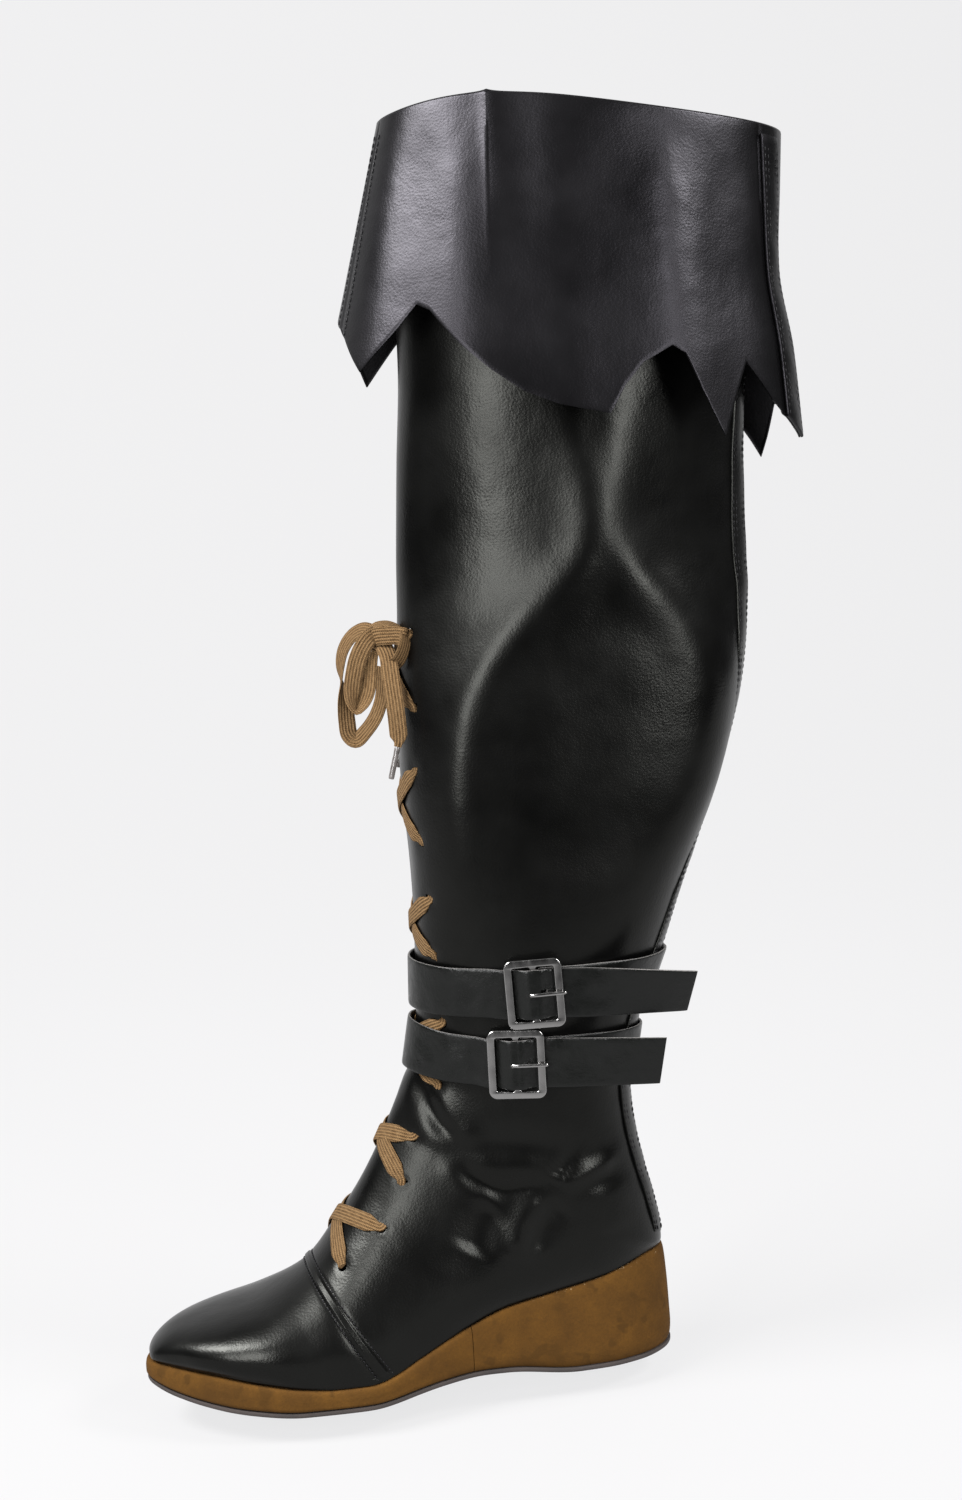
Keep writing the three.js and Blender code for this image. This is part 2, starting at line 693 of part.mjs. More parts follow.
// A point of the cuff's skirt: down is 0 at the shaft's rim and 1 at the hem.
function cuffPoint(side, turn, down, hemDrop, off) {
  const t = sideTurn(side, turn);
  const rim = skinPoint(topRow, t);
  const outwards = skinNormal(topRow, t).setZ(0).normalize();
  const z = lerp(rim.z, bootHeight - cuffDrop * hemDrop, down);
  const drop = (bootHeight - z) / cuffDrop;
  const start = (bootHeight - rim.z) / cuffDrop;
  const spread = cuffSpread(side, turn, drop) - cuffSpread(side, turn, start) * (1 - down);
  return rim.addScaledVector(outwards, Math.max(spread, -cuffTuck) + off).setZ(z);
}

const cuffFalls = [0.1, 0.35, 0.6, 0.82, 1];

function cuffGeometry() {
  const ring = [
    ...hemRows.lateral.map((row) => ({ side: "lateral", ...row })),
    ...hemRows.medial.toReversed().map((row) => ({ side: "medial", ...row })),
  ];
  const outer = cuffStandOff + cuffWall;
  const lipRow = topRow - cuffLip / (bootHeight * (shaftRows.at(-1).up - shaftRows.at(-2).up));
  const sections = ring.map(({ side, turn, drop }) => {
    const t = sideTurn(side, turn);
    const rimAt = (off, up) => skin(topRow, t, off).add(V(0, 0, up));
    const down = cuffFalls.map((fall) => cuffPoint(side, turn, fall, drop, cuffStandOff));
    const up = cuffFalls.map((fall) => cuffPoint(side, turn, fall, drop, outer)).reverse();
    return [
      ...up,
      rimAt(outer, gap),
      rimAt(cuffStandOff, gap + cuffWall),
      rimAt(-wall - cuffStandOff, gap + cuffWall),
      rimAt(-wall - outer, gap),
      skin(lipRow, t, -wall - outer),
      skin(lipRow, t, -wall - cuffStandOff),
      rimAt(-wall - cuffStandOff, gap),
      rimAt(cuffStandOff, gap),
      ...down,
    ];
  });
  const size = sections[0].length;
  const faces = [];
  for (let k = 0; k < sections.length; k++) {
    bridge(faces, k * size, ((k + 1) % sections.length) * size, size, true);
  }
  return solid(sections.flat(), faces);
}

// Tape stitched over the cuff's back seam, from its rim to its hem.
function cuffTapeGeometry() {
  const isUnder = ({ turn }) => turn >= cuffTapeFrom && turn <= cuffTapeTo;
  const hem = hemRows.lateral.filter(isUnder).reverse();
  const under = cuffStandOff + cuffWall + cuffTapeGap;
  const face = (fall, off) => hem.map(({ turn, drop }) => cuffPoint("lateral", turn, fall, drop, off));
  const sections = cuffFalls.map((fall) => [
    ...face(fall, under),
    ...face(fall, under + cuffTapeThickness).reverse(),
  ]);
  return sweep(sections);
}

// A flat band swept through stations, each with a middle point, the direction across and the one out.
function band(stations, width, thickness) {
  return sweep(
    stations.map(({ middle, across, out, narrow = 1 }) => {
      const half = across.clone().multiplyScalar((width * narrow) / 2);
      const rise = out.clone().multiplyScalar(thickness / 2);
      return [
        middle.clone().sub(half).sub(rise),
        middle.clone().add(half).sub(rise),
        middle.clone().add(half).add(rise),
        middle.clone().sub(half).add(rise),
      ];
    }),
  );
}

// Straps: height is the strap's middle line at the front, the outer side, the back and the inner side.
// seat: place of the buckle round the boot, tilt: lean of the buckle in degrees.
// overLace: how much more it stands off over the lace. free: length of the free end past the buckle's middle.
// slope and twist: fall of the free end, and its turn about itself, in degrees.
const strapSpecs = {
  upper: {
    front: 199, outer: 197.5, back: 197, inner: 198, seat: 0.483, tilt: 2.5, overLace: 1.6,
    free: 76, slope: -2.3, twist: 24,
  },
  lower: {
    front: 168, outer: 162.2, back: 158, inner: 162, seat: 0.455, tilt: 0, overLace: 1.9,
    free: 71, slope: -0.9, twist: 10,
  },
};

// Where a strap climbs, in shares of its half turn: over the back strip from the outer and the inner side,
// and down from the lace on both sides. reach: where its front run stops short of the buckle's seat.
const climbs = {
  stripOuter: [0.62, 0.76],
  stripInner: [0.8, 0.92],
  laceInner: [0.22, 0.32],
  laceOuter: [0.22, 0.33],
};
const buckleReach = 0.115;
const climbed = (turn, [from, to]) => THREE.MathUtils.smoothstep(turn, from, to);

function strapHeight(spec, side, turn) {
  const middle = side === "lateral" ? spec.outer : spec.inner;
  const ahead = Math.cos(Math.PI * turn);
  return lerp(middle, ahead > 0 ? spec.front : spec.back, ahead * ahead);
}

function strapSeat(spec, side, turn, lift) {
  const t = sideTurn(side, turn);
  const height = strapHeight(spec, side, turn);
  const edge = (offset) => skinPoint(sectionAtHeight(t, height + offset), t);
  const across = edge(strapWidth / 2).sub(edge(-strapWidth / 2)).normalize();
  const v = sectionAtHeight(t, height);
  const out = skinNormal(v, t);
  out.addScaledVector(across, -out.dot(across)).normalize();
  const ends = edge(strapWidth / 2).add(edge(-strapWidth / 2)).multiplyScalar(0.5);
  const bulge = Math.max(skinPoint(v, t).sub(ends).dot(out), 0);
  return { middle: ends.addScaledVector(out, bulge + lift), across, out };
}

// The buckle's own frame: along the strap to the back, up, and out from the boot.
function buckleFrame(spec) {
  const seat = strapSeat(spec, "lateral", spec.seat, 0);
  const out = seat.out.clone().setZ(seat.out.z * 0.5).normalize();
  const tilt = THREE.MathUtils.degToRad(spec.tilt);
  const back = V(0, 0, 1).cross(out).normalize();
  const up = out.clone().cross(back).normalize();
  const along = back.clone().multiplyScalar(Math.cos(tilt)).addScaledVector(up, Math.sin(tilt));
  const rise = out.clone().cross(along).normalize();
  return { origin: seat.middle, along, rise, out };
}

const strapLift = strapStandOff + strapThickness / 2;
const leftBarUnder = strapLift + strapThickness / 2 + gap;
const rightBarUnder = leftBarUnder + strapThickness + gap;
const centreBarUnder = (leftBarUnder + rightBarUnder) / 2;
const centreBarOver = centreBarUnder + buckleThickness;
const humpLift = centreBarOver + gap + strapThickness / 2;
const freeLift = rightBarUnder - gap - strapThickness / 2;

// Where the strap threads the buckle: place along it in shares of half the buckle's width, and its lift.
const threadRows = [
  { at: -0.95, lift: strapLift },
  { at: -0.72, lift: strapLift },
  { at: -0.5, lift: lerp(strapLift, humpLift, 0.42) },
  { at: -0.32, lift: lerp(strapLift, humpLift, 0.82) },
  { at: -0.15, lift: humpLift },
  { at: 0.15, lift: humpLift },
  { at: 0.33, lift: lerp(freeLift, humpLift, 0.6) },
  { at: 0.5, lift: lerp(freeLift, humpLift, 0.18) },
  { at: 0.66, lift: freeLift },
  { at: 1.05, lift: freeLift },
];

const freePlaces = [1.8, 2.8, 3.9];

// Slot of the prong in the strap: its place as above, and its length.
const slotAt = 0.12;
const slotLength = buckleWidth * 0.3;

function strapGeometry(spec) {
  const frame = buckleFrame(spec);
  const stations = [];
  const overStrip = backStripThickness + backStripStandOff;
  const fixedSteps = 10;
  for (let i = 0; i <= fixedSteps; i++) {
    const turn = 1 - (1 - spec.seat - 0.01) * (1 - i / fixedSteps) ** 1.5;
    const over = overStrip * climbed(turn, climbs.stripOuter);
    stations.push(strapSeat(spec, "lateral", turn, strapLift + over));
  }
  const innerSteps = 16;
  for (let i = 1; i <= innerSteps; i++) {
    const turn = 1 - (i / innerSteps) ** 1.3;
    const overFront = spec.overLace * (1 - climbed(turn, climbs.laceInner));
    const lift = strapLift + overFront + overStrip * climbed(turn, climbs.stripInner);
    stations.push(strapSeat(spec, turn === 0 ? "lateral" : "medial", turn, lift));
  }
  const frontSteps = 7;
  const halfBuckle = buckleWidth / 2;
  for (let i = 1; i <= frontSteps; i++) {
    const turn = (spec.seat - buckleReach) * (i / frontSteps);
    const over = spec.overLace * (1 - climbed(turn, climbs.laceOuter));
    stations.push(strapSeat(spec, "lateral", turn, strapLift + over));
  }
  const slope = THREE.MathUtils.degToRad(spec.slope - spec.tilt);
  const free = [...freePlaces, spec.free / halfBuckle].map((at) => ({
    at,
    lift: freeLift + strapFreeLift * (at - 1),
  }));
  const rows = [...threadRows, ...free];
  const place = ({ at, lift }) =>
    frame.origin
      .clone()
      .addScaledVector(frame.along, at * halfBuckle)
      .addScaledVector(frame.rise, Math.max(at, 0) * halfBuckle * Math.tan(slope))
      .addScaledVector(frame.out, lift);
  rows.forEach((row, i) => {
    const before = place(rows[Math.max(i - 1, 0)]);
    const after = place(rows[Math.min(i + 1, rows.length - 1)]);
    const run = after.sub(before).normalize();
    const out = frame.out.clone().addScaledVector(run, -frame.out.dot(run)).normalize();
    stations.push({ middle: place(row), across: run.clone().cross(out).negate().normalize(), out, run });
  });
  stations.slice(-free.length).forEach(({ across, out, run }, i) => {
    const twist = (THREE.MathUtils.degToRad(spec.twist) * i) / (free.length - 1);
    across.applyAxisAngle(run, twist);
    out.applyAxisAngle(run, twist);
  });
  const end = stations.at(-1);
  end.across.addScaledVector(end.run, strapEndCut);
  const slot = new THREE.BoxGeometry(slotLength, prongDiameter + 4 * gap, 4 * strapThickness);
  const slotFrame = new THREE.Matrix4().makeBasis(frame.along, frame.rise, frame.out);
  const slotPlace = place({ at: slotAt, lift: humpLift });
  slot.applyMatrix4(slotFrame.setPosition(slotPlace));
  return fromManifold(toManifold(band(stations, strapWidth, strapThickness)).subtract(toManifold(slot)));
}

function roundedBox(path, x, y, width, height, radius) {
  path.moveTo(x + radius, y);
  path.lineTo(x + width - radius, y);
  path.absarc(x + width - radius, y + radius, radius, -Math.PI / 2, 0);
  path.lineTo(x + width, y + height - radius);
  path.absarc(x + width - radius, y + height - radius, radius, 0, Math.PI / 2);
  path.lineTo(x + radius, y + height);
  path.absarc(x + radius, y + height - radius, radius, Math.PI / 2, Math.PI);
  path.lineTo(x, y + radius);
  path.absarc(x + radius, y + radius, radius, Math.PI, Math.PI * 1.5);
  return path;
}

function buckleGeometry() {
  const [left, low] = [-buckleWidth / 2, -buckleHeight / 2];
  const shape = roundedBox(new THREE.Shape(), left, low, buckleWidth, buckleHeight, buckleCorner);
  const openWidth = (buckleWidth - 2 * buckleBar - buckleCentreBar) / 2;
  const openHeight = buckleHeight - 2 * buckleBar;
  for (const x of [-buckleWidth / 2 + buckleBar, buckleCentreBar / 2]) {
    const path = new THREE.Path();
    shape.holes.push(roundedBox(path, x, -openHeight / 2, openWidth, openHeight, buckleCorner / 4));
  }
  return new THREE.ExtrudeGeometry(shape, { depth: buckleThickness, bevelEnabled: false, curveSegments: 3 });
}

// The prong lies from the centre bar to just past the back bar, through a slot in the strap.
const prongPast = 1.5;

function prongGeometry(length) {
  const tube = new THREE.CylinderGeometry(prongDiameter / 2, prongDiameter / 2, length, 8);
  return tube.rotateZ(-Math.PI / 2).translate(length / 2, 0, 0);
}

// Lace: crossings from the toe up. upper and lower: height of the holes, spread: how far round they lie.
const crossRows = [
  { upper: 83, lower: 66, spreadUpper: 30, spreadLower: 27 },
  { upper: 124, lower: 104, spreadUpper: 21, spreadLower: 25 },
  { upper: 181, lower: 150, spreadUpper: 27, spreadLower: 26 },
  { upper: 243, lower: 215, spreadUpper: 26, spreadLower: 24 },
  { upper: 306, lower: 272, spreadUpper: 25, spreadLower: 24 },
  { upper: 373, lower: 337, spreadUpper: 18.6, spreadLower: 24 },
];

// The section on which a hole at a height and a spread round the front lies.
function laceHoleAt(height, spread, side) {
  let [low, high] = [vampRow - 2, topRow];
  for (let i = 0; i < 24; i++) {
    const middle = (low + high) / 2;
    if (skinPoint(middle, around(middle, 0.5, side * spread)).z < height) low = middle;
    else high = middle;
  }
  const v = (low + high) / 2;
  return { v, t: around(v, 0.5, side * spread) };
}

const crossHoles = crossRows.map((row) => ({
  upperOuter: laceHoleAt(row.upper, row.spreadUpper, 1),
  upperInner: laceHoleAt(row.upper, row.spreadUpper, -1),
  lowerOuter: laceHoleAt(row.lower, row.spreadLower, 1),
  lowerInner: laceHoleAt(row.lower, row.spreadLower, -1),
}));

function laceLeg(from, to, lift, hump) {
  const steps = 8;
  const at = (share) => {
    const v = lerp(from.v, to.v, share);
    const t = lerp(from.t, to.t, share);
    return skin(v, t, lift + hump * Math.sin(Math.PI * clamp((share - 0.2) / 0.6, 0, 1)) ** 2);
  };
  const stations = [];
  for (let i = 0; i <= steps; i++) {
    const share = i / steps;
    const run = at(Math.min(share + 0.02, 1)).sub(at(Math.max(share - 0.02, 0))).normalize();
    const out = skinNormal(lerp(from.v, to.v, share), lerp(from.t, to.t, share));
    out.addScaledVector(run, -out.dot(run)).normalize();
    const narrow = lerp(laceAtHole, 1, THREE.MathUtils.smoothstep(Math.min(share, 1 - share), 0, 0.25));
    stations.push({ middle: at(share), across: run.clone().cross(out).normalize(), out, narrow });
  }
  return band(stations, laceWidth, laceThickness);
}

function laceCrossGeometry(holes) {
  const lift = 2 * gap + laceThickness / 2;
  const under = laceLeg(holes.lowerOuter, holes.upperInner, lift, 0);
  const over = laceLeg(holes.upperOuter, holes.lowerInner, lift, laceThickness * laceHump);
  return fromManifold(toManifold(under).add(toManifold(over)));
}

function cutLaceHoles(geometry) {
  let body = toManifold(geometry);
  for (const holes of crossHoles) {
    for (const { v, t } of Object.values(holes)) {
      const cutter = new THREE.CylinderGeometry(laceHole / 2, laceHole / 2, 4 * wall, 6);
      const turn = new THREE.Quaternion().setFromUnitVectors(V(0, 1, 0), skinNormal(v, t));
      cutter.applyQuaternion(turn);
      const place = skinPoint(v, t);
      cutter.translate(place.x, place.y, place.z);
      body = body.subtract(toManifold(cutter));
    }
  }
  return fromManifold(body);
}

// Bow: routes of its loops and ends, chosen by hand, in the shaft's own directions: forward of the
// pivot line, outwards and up. lean: turn of the flat band about its run, in degrees. At 0 it lies across
// the view from the outer side, edge on, and at 90 it faces it.
const knotAt = [92.4, 5, 369];
const knotSize = [7.5, 8.4, 6.8];
const bowRoutes = {
  lace_loop_inner: [
    { forward: 95.4, outwards: -3.1, up: 372.6, lean: -60 },
    { forward: 99.7, outwards: -8, up: 373.9, lean: -50 },
    { forward: 105.2, outwards: -12, up: 370.9, lean: -42 },
    { forward: 109.9, outwards: -15, up: 364, lean: -36 },
    { forward: 111.9, outwards: -17, up: 355, lean: -22 },
    { forward: 111.4, outwards: -18, up: 346.9, lean: 10 },
    { forward: 110.4, outwards: -18, up: 337.3, lean: 60 },
    { forward: 110, outwards: -18, up: 327.8, lean: 84 },
    { forward: 109.2, outwards: -17.5, up: 321.4, lean: 84 },
    { forward: 106.2, outwards: -16.5, up: 318.6, lean: 62 },
    { forward: 100.9, outwards: -15, up: 323, lean: 50 },
    { forward: 95.6, outwards: -13.5, up: 330.3, lean: 48 },
    { forward: 92.6, outwards: -12, up: 338.2, lean: 45 },
    { forward: 91.5, outwards: -10, up: 346, lean: 45 },
    { forward: 91.5, outwards: -8, up: 355, lean: 45 },
  ],
  lace_loop_outer: [
    { forward: 97.4, outwards: 14, up: 371.4, lean: 88 },
    { forward: 100.4, outwards: 16, up: 368.2, lean: 88 },
    { forward: 103.8, outwards: 17.5, up: 362.1, lean: 86 },
    { forward: 106.2, outwards: 18.5, up: 354.1, lean: 82 },
    { forward: 107.7, outwards: 19, up: 346, lean: 70 },
    { forward: 107.8, outwards: 19.5, up: 340.7, lean: 40 },
    { forward: 106.1, outwards: 19.5, up: 337, lean: 22 },
    { forward: 103, outwards: 18.8, up: 339.9, lean: 40 },
    { forward: 100.6, outwards: 18, up: 345.4, lean: 62 },
    { forward: 99.4, outwards: 16.5, up: 351.9, lean: 66 },
    { forward: 98.6, outwards: 15, up: 358.5, lean: 66 },
  ],
  lace_end_outer: [
    { forward: 91, outwards: 13.4, up: 366.6, lean: 72 },
    { forward: 89.4, outwards: 18, up: 362.2, lean: 80 },
    { forward: 88.9, outwards: 22, up: 354.7, lean: 86 },
    { forward: 88.3, outwards: 25, up: 346.1, lean: 90 },
    { forward: 87.6, outwards: 27, up: 337.6, lean: 90 },
    { forward: 87.1, outwards: 28, up: 329, lean: 90 },
    { forward: 87, outwards: 28.5, up: 322.2, lean: 90 },
    { forward: 87.7, outwards: 28.6, up: 319.2, lean: 90 },
  ],
  lace_end_inner: [
    { forward: 89.7, outwards: -5.4, up: 369.5, lean: 44 },
    { forward: 88.5, outwards: -12.5, up: 363, lean: 44 },
    { forward: 85, outwards: -19, up: 354, lean: 44 },
    { forward: 83, outwards: -23, up: 344, lean: 44 },
    { forward: 82, outwards: -25, up: 334, lean: 44 },
    { forward: 82, outwards: -26, up: 325, lean: 44 },
    { forward: 83, outwards: -26, up: 318, lean: 44 },
  ],
};
const routePoint = ({ forward, outwards, up }) => turned(forward, outwards, up);

// Stations of a band for each point of its route, on the average.
const stationsEach = 1.9;

function bowGeometry(route) {
  const curve = new THREE.CatmullRomCurve3(route.map(routePoint), false, "centripetal");
  const leans = route.map(({ lean }) => THREE.MathUtils.degToRad(lean));
  const steps = Math.round(route.length * stationsEach);
  const outwards = turned(0, 1, 0).sub(turned(0, 0, 0));
  const stations = [];
  for (let i = 0; i <= steps; i++) {
    const share = i / steps;
    const run = curve.getTangent(share);
    const across = outwards.clone().addScaledVector(run, -outwards.dot(run)).normalize();
    across.applyAxisAngle(run, between(leans, share * (route.length - 1)));
    stations.push({ middle: curve.getPoint(share), across, out: run.clone().cross(across).normalize() });
  }
  return band(stations, laceWidth, laceThickness);
}

function knotGeometry() {
  const ball = new THREE.SphereGeometry(1, 10, 6);
  ball.scale(...knotSize);
  ball.rotateZ(-shaftTurn);
  const place = turned(...knotAt);
  return ball.translate(place.x, place.y, place.z);
}

const materials = {
  leather: new THREE.MeshStandardMaterial({ color: 0x17161a, roughness: 0.42, metalness: 0 }),
  suede: new THREE.MeshStandardMaterial({ color: 0x7a5229, roughness: 0.85, metalness: 0 }),
  rubber: new THREE.MeshStandardMaterial({ color: 0x2a2320, roughness: 0.9, metalness: 0 }),
  board: new THREE.MeshStandardMaterial({ color: 0x2b2a2c, roughness: 0.9, metalness: 0 }),
  lace: new THREE.MeshStandardMaterial({ color: 0x8a6a45, roughness: 0.85, metalness: 0 }),
  nickel: new THREE.MeshStandardMaterial({ color: 0xb8b8bc, roughness: 0.22, metalness: 1 }),
  tip: new THREE.MeshStandardMaterial({ color: 0x77757a, roughness: 0.4, metalness: 0 }),
};

const boot = new THREE.Group();
function add(name, geometry, material, parent = boot) {
  const mesh = new THREE.Mesh(geometry, material);
  mesh.name = name;
  parent.add(mesh);
  return mesh;
}

add("outsole", outsoleGeometry(), materials.rubber);
add("heel_wedge", blockGeometry(heelAngles), materials.suede);
add("forefoot_midsole", blockGeometry(forefootAngles), materials.suede);
add("insole", insoleGeometry(), materials.board);
add("upper", cutLaceHoles(upperGeometry()), materials.leather);
add("back_strip", backStripGeometry(), materials.leather);
add("cuff", cuffGeometry(), materials.leather);
add("cuff_back_tape", cuffTapeGeometry(), materials.leather);

for (const [place, spec] of Object.entries(strapSpecs)) {
  add(`strap_${place}`, strapGeometry(spec), materials.leather);
  const frame = buckleFrame(spec);
  const lean = Math.atan2(rightBarUnder - leftBarUnder, buckleWidth - buckleBar);
  const buckle = new THREE.Group();
  buckle.quaternion.setFromRotationMatrix(new THREE.Matrix4().makeBasis(frame.along, frame.rise, frame.out));
  buckle.position.copy(frame.origin);
  boot.add(buckle);
  const plate = new THREE.Group();
  plate.rotation.y = -lean;
  plate.position.z = centreBarUnder;
  buckle.add(plate);
  add(`buckle_${place}`, buckleGeometry(), materials.nickel, plate);
  const prong = add(`prong_${place}`, prongGeometry(buckleWidth / 2 + prongPast), materials.nickel, plate);
  prong.position.z = buckleThickness + gap + prongDiameter / 2;
}

crossHoles.forEach((holes, i) => add(`lace_cross_${i + 1}`, laceCrossGeometry(holes), materials.lace));
add("lace_knot", knotGeometry(), materials.lace);
for (const [name, route] of Object.entries(bowRoutes)) add(name, bowGeometry(route), materials.lace);
for (const side of ["outer", "inner"]) {
  const route = bowRoutes[`lace_end_${side}`];
  const end = routePoint(route.at(-1));
  const before = routePoint(route.at(-2));
  const run = end.clone().sub(before).normalize();
  const tip = new THREE.CylinderGeometry(laceTipDiameter / 2, laceTipDiameter / 2, laceTipLength, 8);
  const mesh = add(`aglet_${side}`, tip, materials.tip);
  mesh.quaternion.setFromUnitVectors(V(0, 1, 0), run);
  mesh.position.copy(end).addScaledVector(run, gap + laceTipLength / 2);
}

export default boot;
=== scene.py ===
"""Left over-knee costume boot on a wedge sole, dressed for the render.

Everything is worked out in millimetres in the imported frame: +X to the toe, +Y to the boot's
outer side, +Z up, with the origin on the floor under the heel. Meshes are written in metres.
"""
import math

import bmesh
import bpy
import numpy as np
from mathutils import Matrix, Vector


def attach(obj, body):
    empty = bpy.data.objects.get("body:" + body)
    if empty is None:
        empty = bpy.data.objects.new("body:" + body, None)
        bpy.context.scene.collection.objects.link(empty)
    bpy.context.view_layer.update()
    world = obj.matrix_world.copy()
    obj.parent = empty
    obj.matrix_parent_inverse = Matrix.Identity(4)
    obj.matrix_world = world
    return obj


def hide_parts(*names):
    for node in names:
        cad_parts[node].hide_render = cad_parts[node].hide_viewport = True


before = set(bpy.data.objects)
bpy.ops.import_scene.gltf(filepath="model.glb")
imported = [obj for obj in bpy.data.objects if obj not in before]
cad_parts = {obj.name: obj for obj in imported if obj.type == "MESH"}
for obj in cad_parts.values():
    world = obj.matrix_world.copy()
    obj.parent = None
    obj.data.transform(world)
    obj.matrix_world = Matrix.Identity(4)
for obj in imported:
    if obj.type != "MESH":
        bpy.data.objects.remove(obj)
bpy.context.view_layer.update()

MM = 0.001


# Sizes, in millimetres unless a name says otherwise.

GAP = 0.3
SOLE_LENGTH = 268
BALL_WIDTH = 92
HEEL_SEAT_BACK = 38
HEEL_HEIGHT = 52.5
PLATFORM_HEIGHT = 11.5
NOSE_RISE = 10
TOE_SPRING = 11
ARCH_RISE = 5.5
OUTSOLE_THICKNESS = 2.4
OUTSOLE_INSET = 0.6
HEEL_RAKE = 1.8
JOINT_ALONG = 0.407
INSOLE_THICKNESS = 3

WALL = 1.6
FEATHER_INSET = 2.4
FEATHER_GAP = 0.7
INSTEP_HEIGHT = 130
BOOT_HEIGHT = 618
SHAFT_DEPTH = 175
SHAFT_WIDTH = 96
SHAFT_TURN = math.radians(5)
SHAFT_PIVOT = 30
RIM_CROWN = 7
BACK_KEEN = 1.22
SEAM_STEP = 0.8
BACK_STRIP_WIDTH = 14
BACK_STRIP_SHIFT = 11.5
BACK_STRIP_THICKNESS = 0.8
BACK_STRIP_LIFT = 0.4

CUFF_WALL = 1.4
CUFF_DROP = 160
CUFF_FLARE = 40
CUFF_LIP = 14
CUFF_STAND_OFF = 0.9
CUFF_FOLD = 0.335
CUFF_SEAM = 0.05
CUFF_CREASE = 2.5
CUFF_TAPE_FROM = 0.81
CUFF_TAPE_TO = 0.885
CUFF_TAPE_THICKNESS = 0.9
CUFF_TAPE_UNDER = 1.3 * GAP

STRAP_WIDTH = 24.5
STRAP_THICKNESS = 1.5
STRAP_STAND_OFF = 0.7
STRAP_END_CUT = 0.15
BUCKLE_WIDTH = 28
BUCKLE_HEIGHT = 34.5
BUCKLE_BAR = 3.8
BUCKLE_CENTRE_BAR = 3
BUCKLE_THICKNESS = 1.8
BUCKLE_CORNER = 4
PRONG_DIAMETER = 1.9

LACE_WIDTH = 8.6
LACE_THICKNESS = 1.2
LACE_HOLE = 5
LACE_TIP_DIAMETER = 2.8


def table(columns, rows):
    """Columns by name from rows of a short table."""
    return {name: np.array(values, float) for name, values in zip(columns.split(), zip(*rows))}


# Sole outline, half widths as shares of the ball width, from the heel's back edge to the toe.
SOLE_OUTLINE = table("along lateral medial", [
    (0, 0, 0),
    (0.03, 0.19, 0.19),
    (0.08, 0.29, 0.29),
    (0.15, 0.345, 0.345),
    (0.25, 0.36, 0.345),
    (0.38, 0.385, 0.3),
    (0.5, 0.455, 0.33),
    (0.62, 0.52, 0.42),
    (0.72, 0.508, 0.495),
    (0.82, 0.44, 0.47),
    (0.9, 0.32, 0.385),
    (0.96, 0.19, 0.24),
    (1, 0, 0),
])

# Under side: shares of the arch's rise and of the toe's spring.
SOLE_UNDER = table("along arch spring", [
    (0, 0, 0),
    (0.2, 0, 0),
    (0.34, 0.88, 0),
    (0.4, 1, 0),
    (0.46, 0.84, 0),
    (0.6, 0, 0),
    (0.72, 0, 0),
    (0.85, 0, 0.23),
    (0.95, 0, 0.64),
    (1, 0, 1),
])

# Top side: shares of the rise from platform to heel, and of the nose's rise.
SOLE_TOP = table("along wedge nose", [
    (0, 1, 0),
    (0.05, 0.995, 0),
    (0.1, 0.927, 0),
    (0.16, 0.841, 0),
    (0.25, 0.739, 0),
    (0.34, 0.632, 0),
    (0.41, 0.47, 0),
    (0.46, 0.34, 0),
    (0.51, 0.195, 0),
    (0.555, 0.065, 0),
    (0.6, 0, 0),
    (0.66, 0, 0),
    (0.72, 0, 0.14),
    (0.8, 0, 0.47),
    (0.88, 0, 0.81),
    (0.95, 0, 0.95),
    (1, 0, 1),
])

# Foot sections: each leans from a point of the instep ridge down to the sole.
FOOT_ROWS = table("front up foot lateral medial widest full", [
    (0.991, 0.168, 1, 0, 0.01, 0.3, 2.2),
    (0.9925, 0.2, 0.9965, 0.078, 0.09, 0.3, 2.2),
    (0.9795, 0.236, 0.978, 0.143, 0.18, 0.3, 2.3),
    (0.9515, 0.274, 0.947, 0.222, 0.268, 0.3, 2.35),
    (0.9104, 0.301, 0.9, 0.327, 0.378, 0.3, 2.35),
    (0.8507, 0.332, 0.83, 0.424, 0.459, 0.28, 2.35),
    (0.7761, 0.377, 0.735, 0.494, 0.487, 0.26, 2.3),
    (0.6922, 0.4746, 0.578, 0.482, 0.415, 0.25, 2.15),
    (0.6343, 0.62, 0.46, 0.437, 0.382, 0.27, 2.05),
    (0.5914, 0.7423, 0.31, 0.402, 0.375, 0.28, 2.05),
    (0.5597, 0.85, 0.165, 0.386, 0.375, 0.3, 2.05),
    (0.5392, 0.9308, 0.06, 0.375, 0.37, 0.33, 2.05),
    (0.5243, 0.992, 0, 0.37, 0.364, 0.38, 2.05),
])

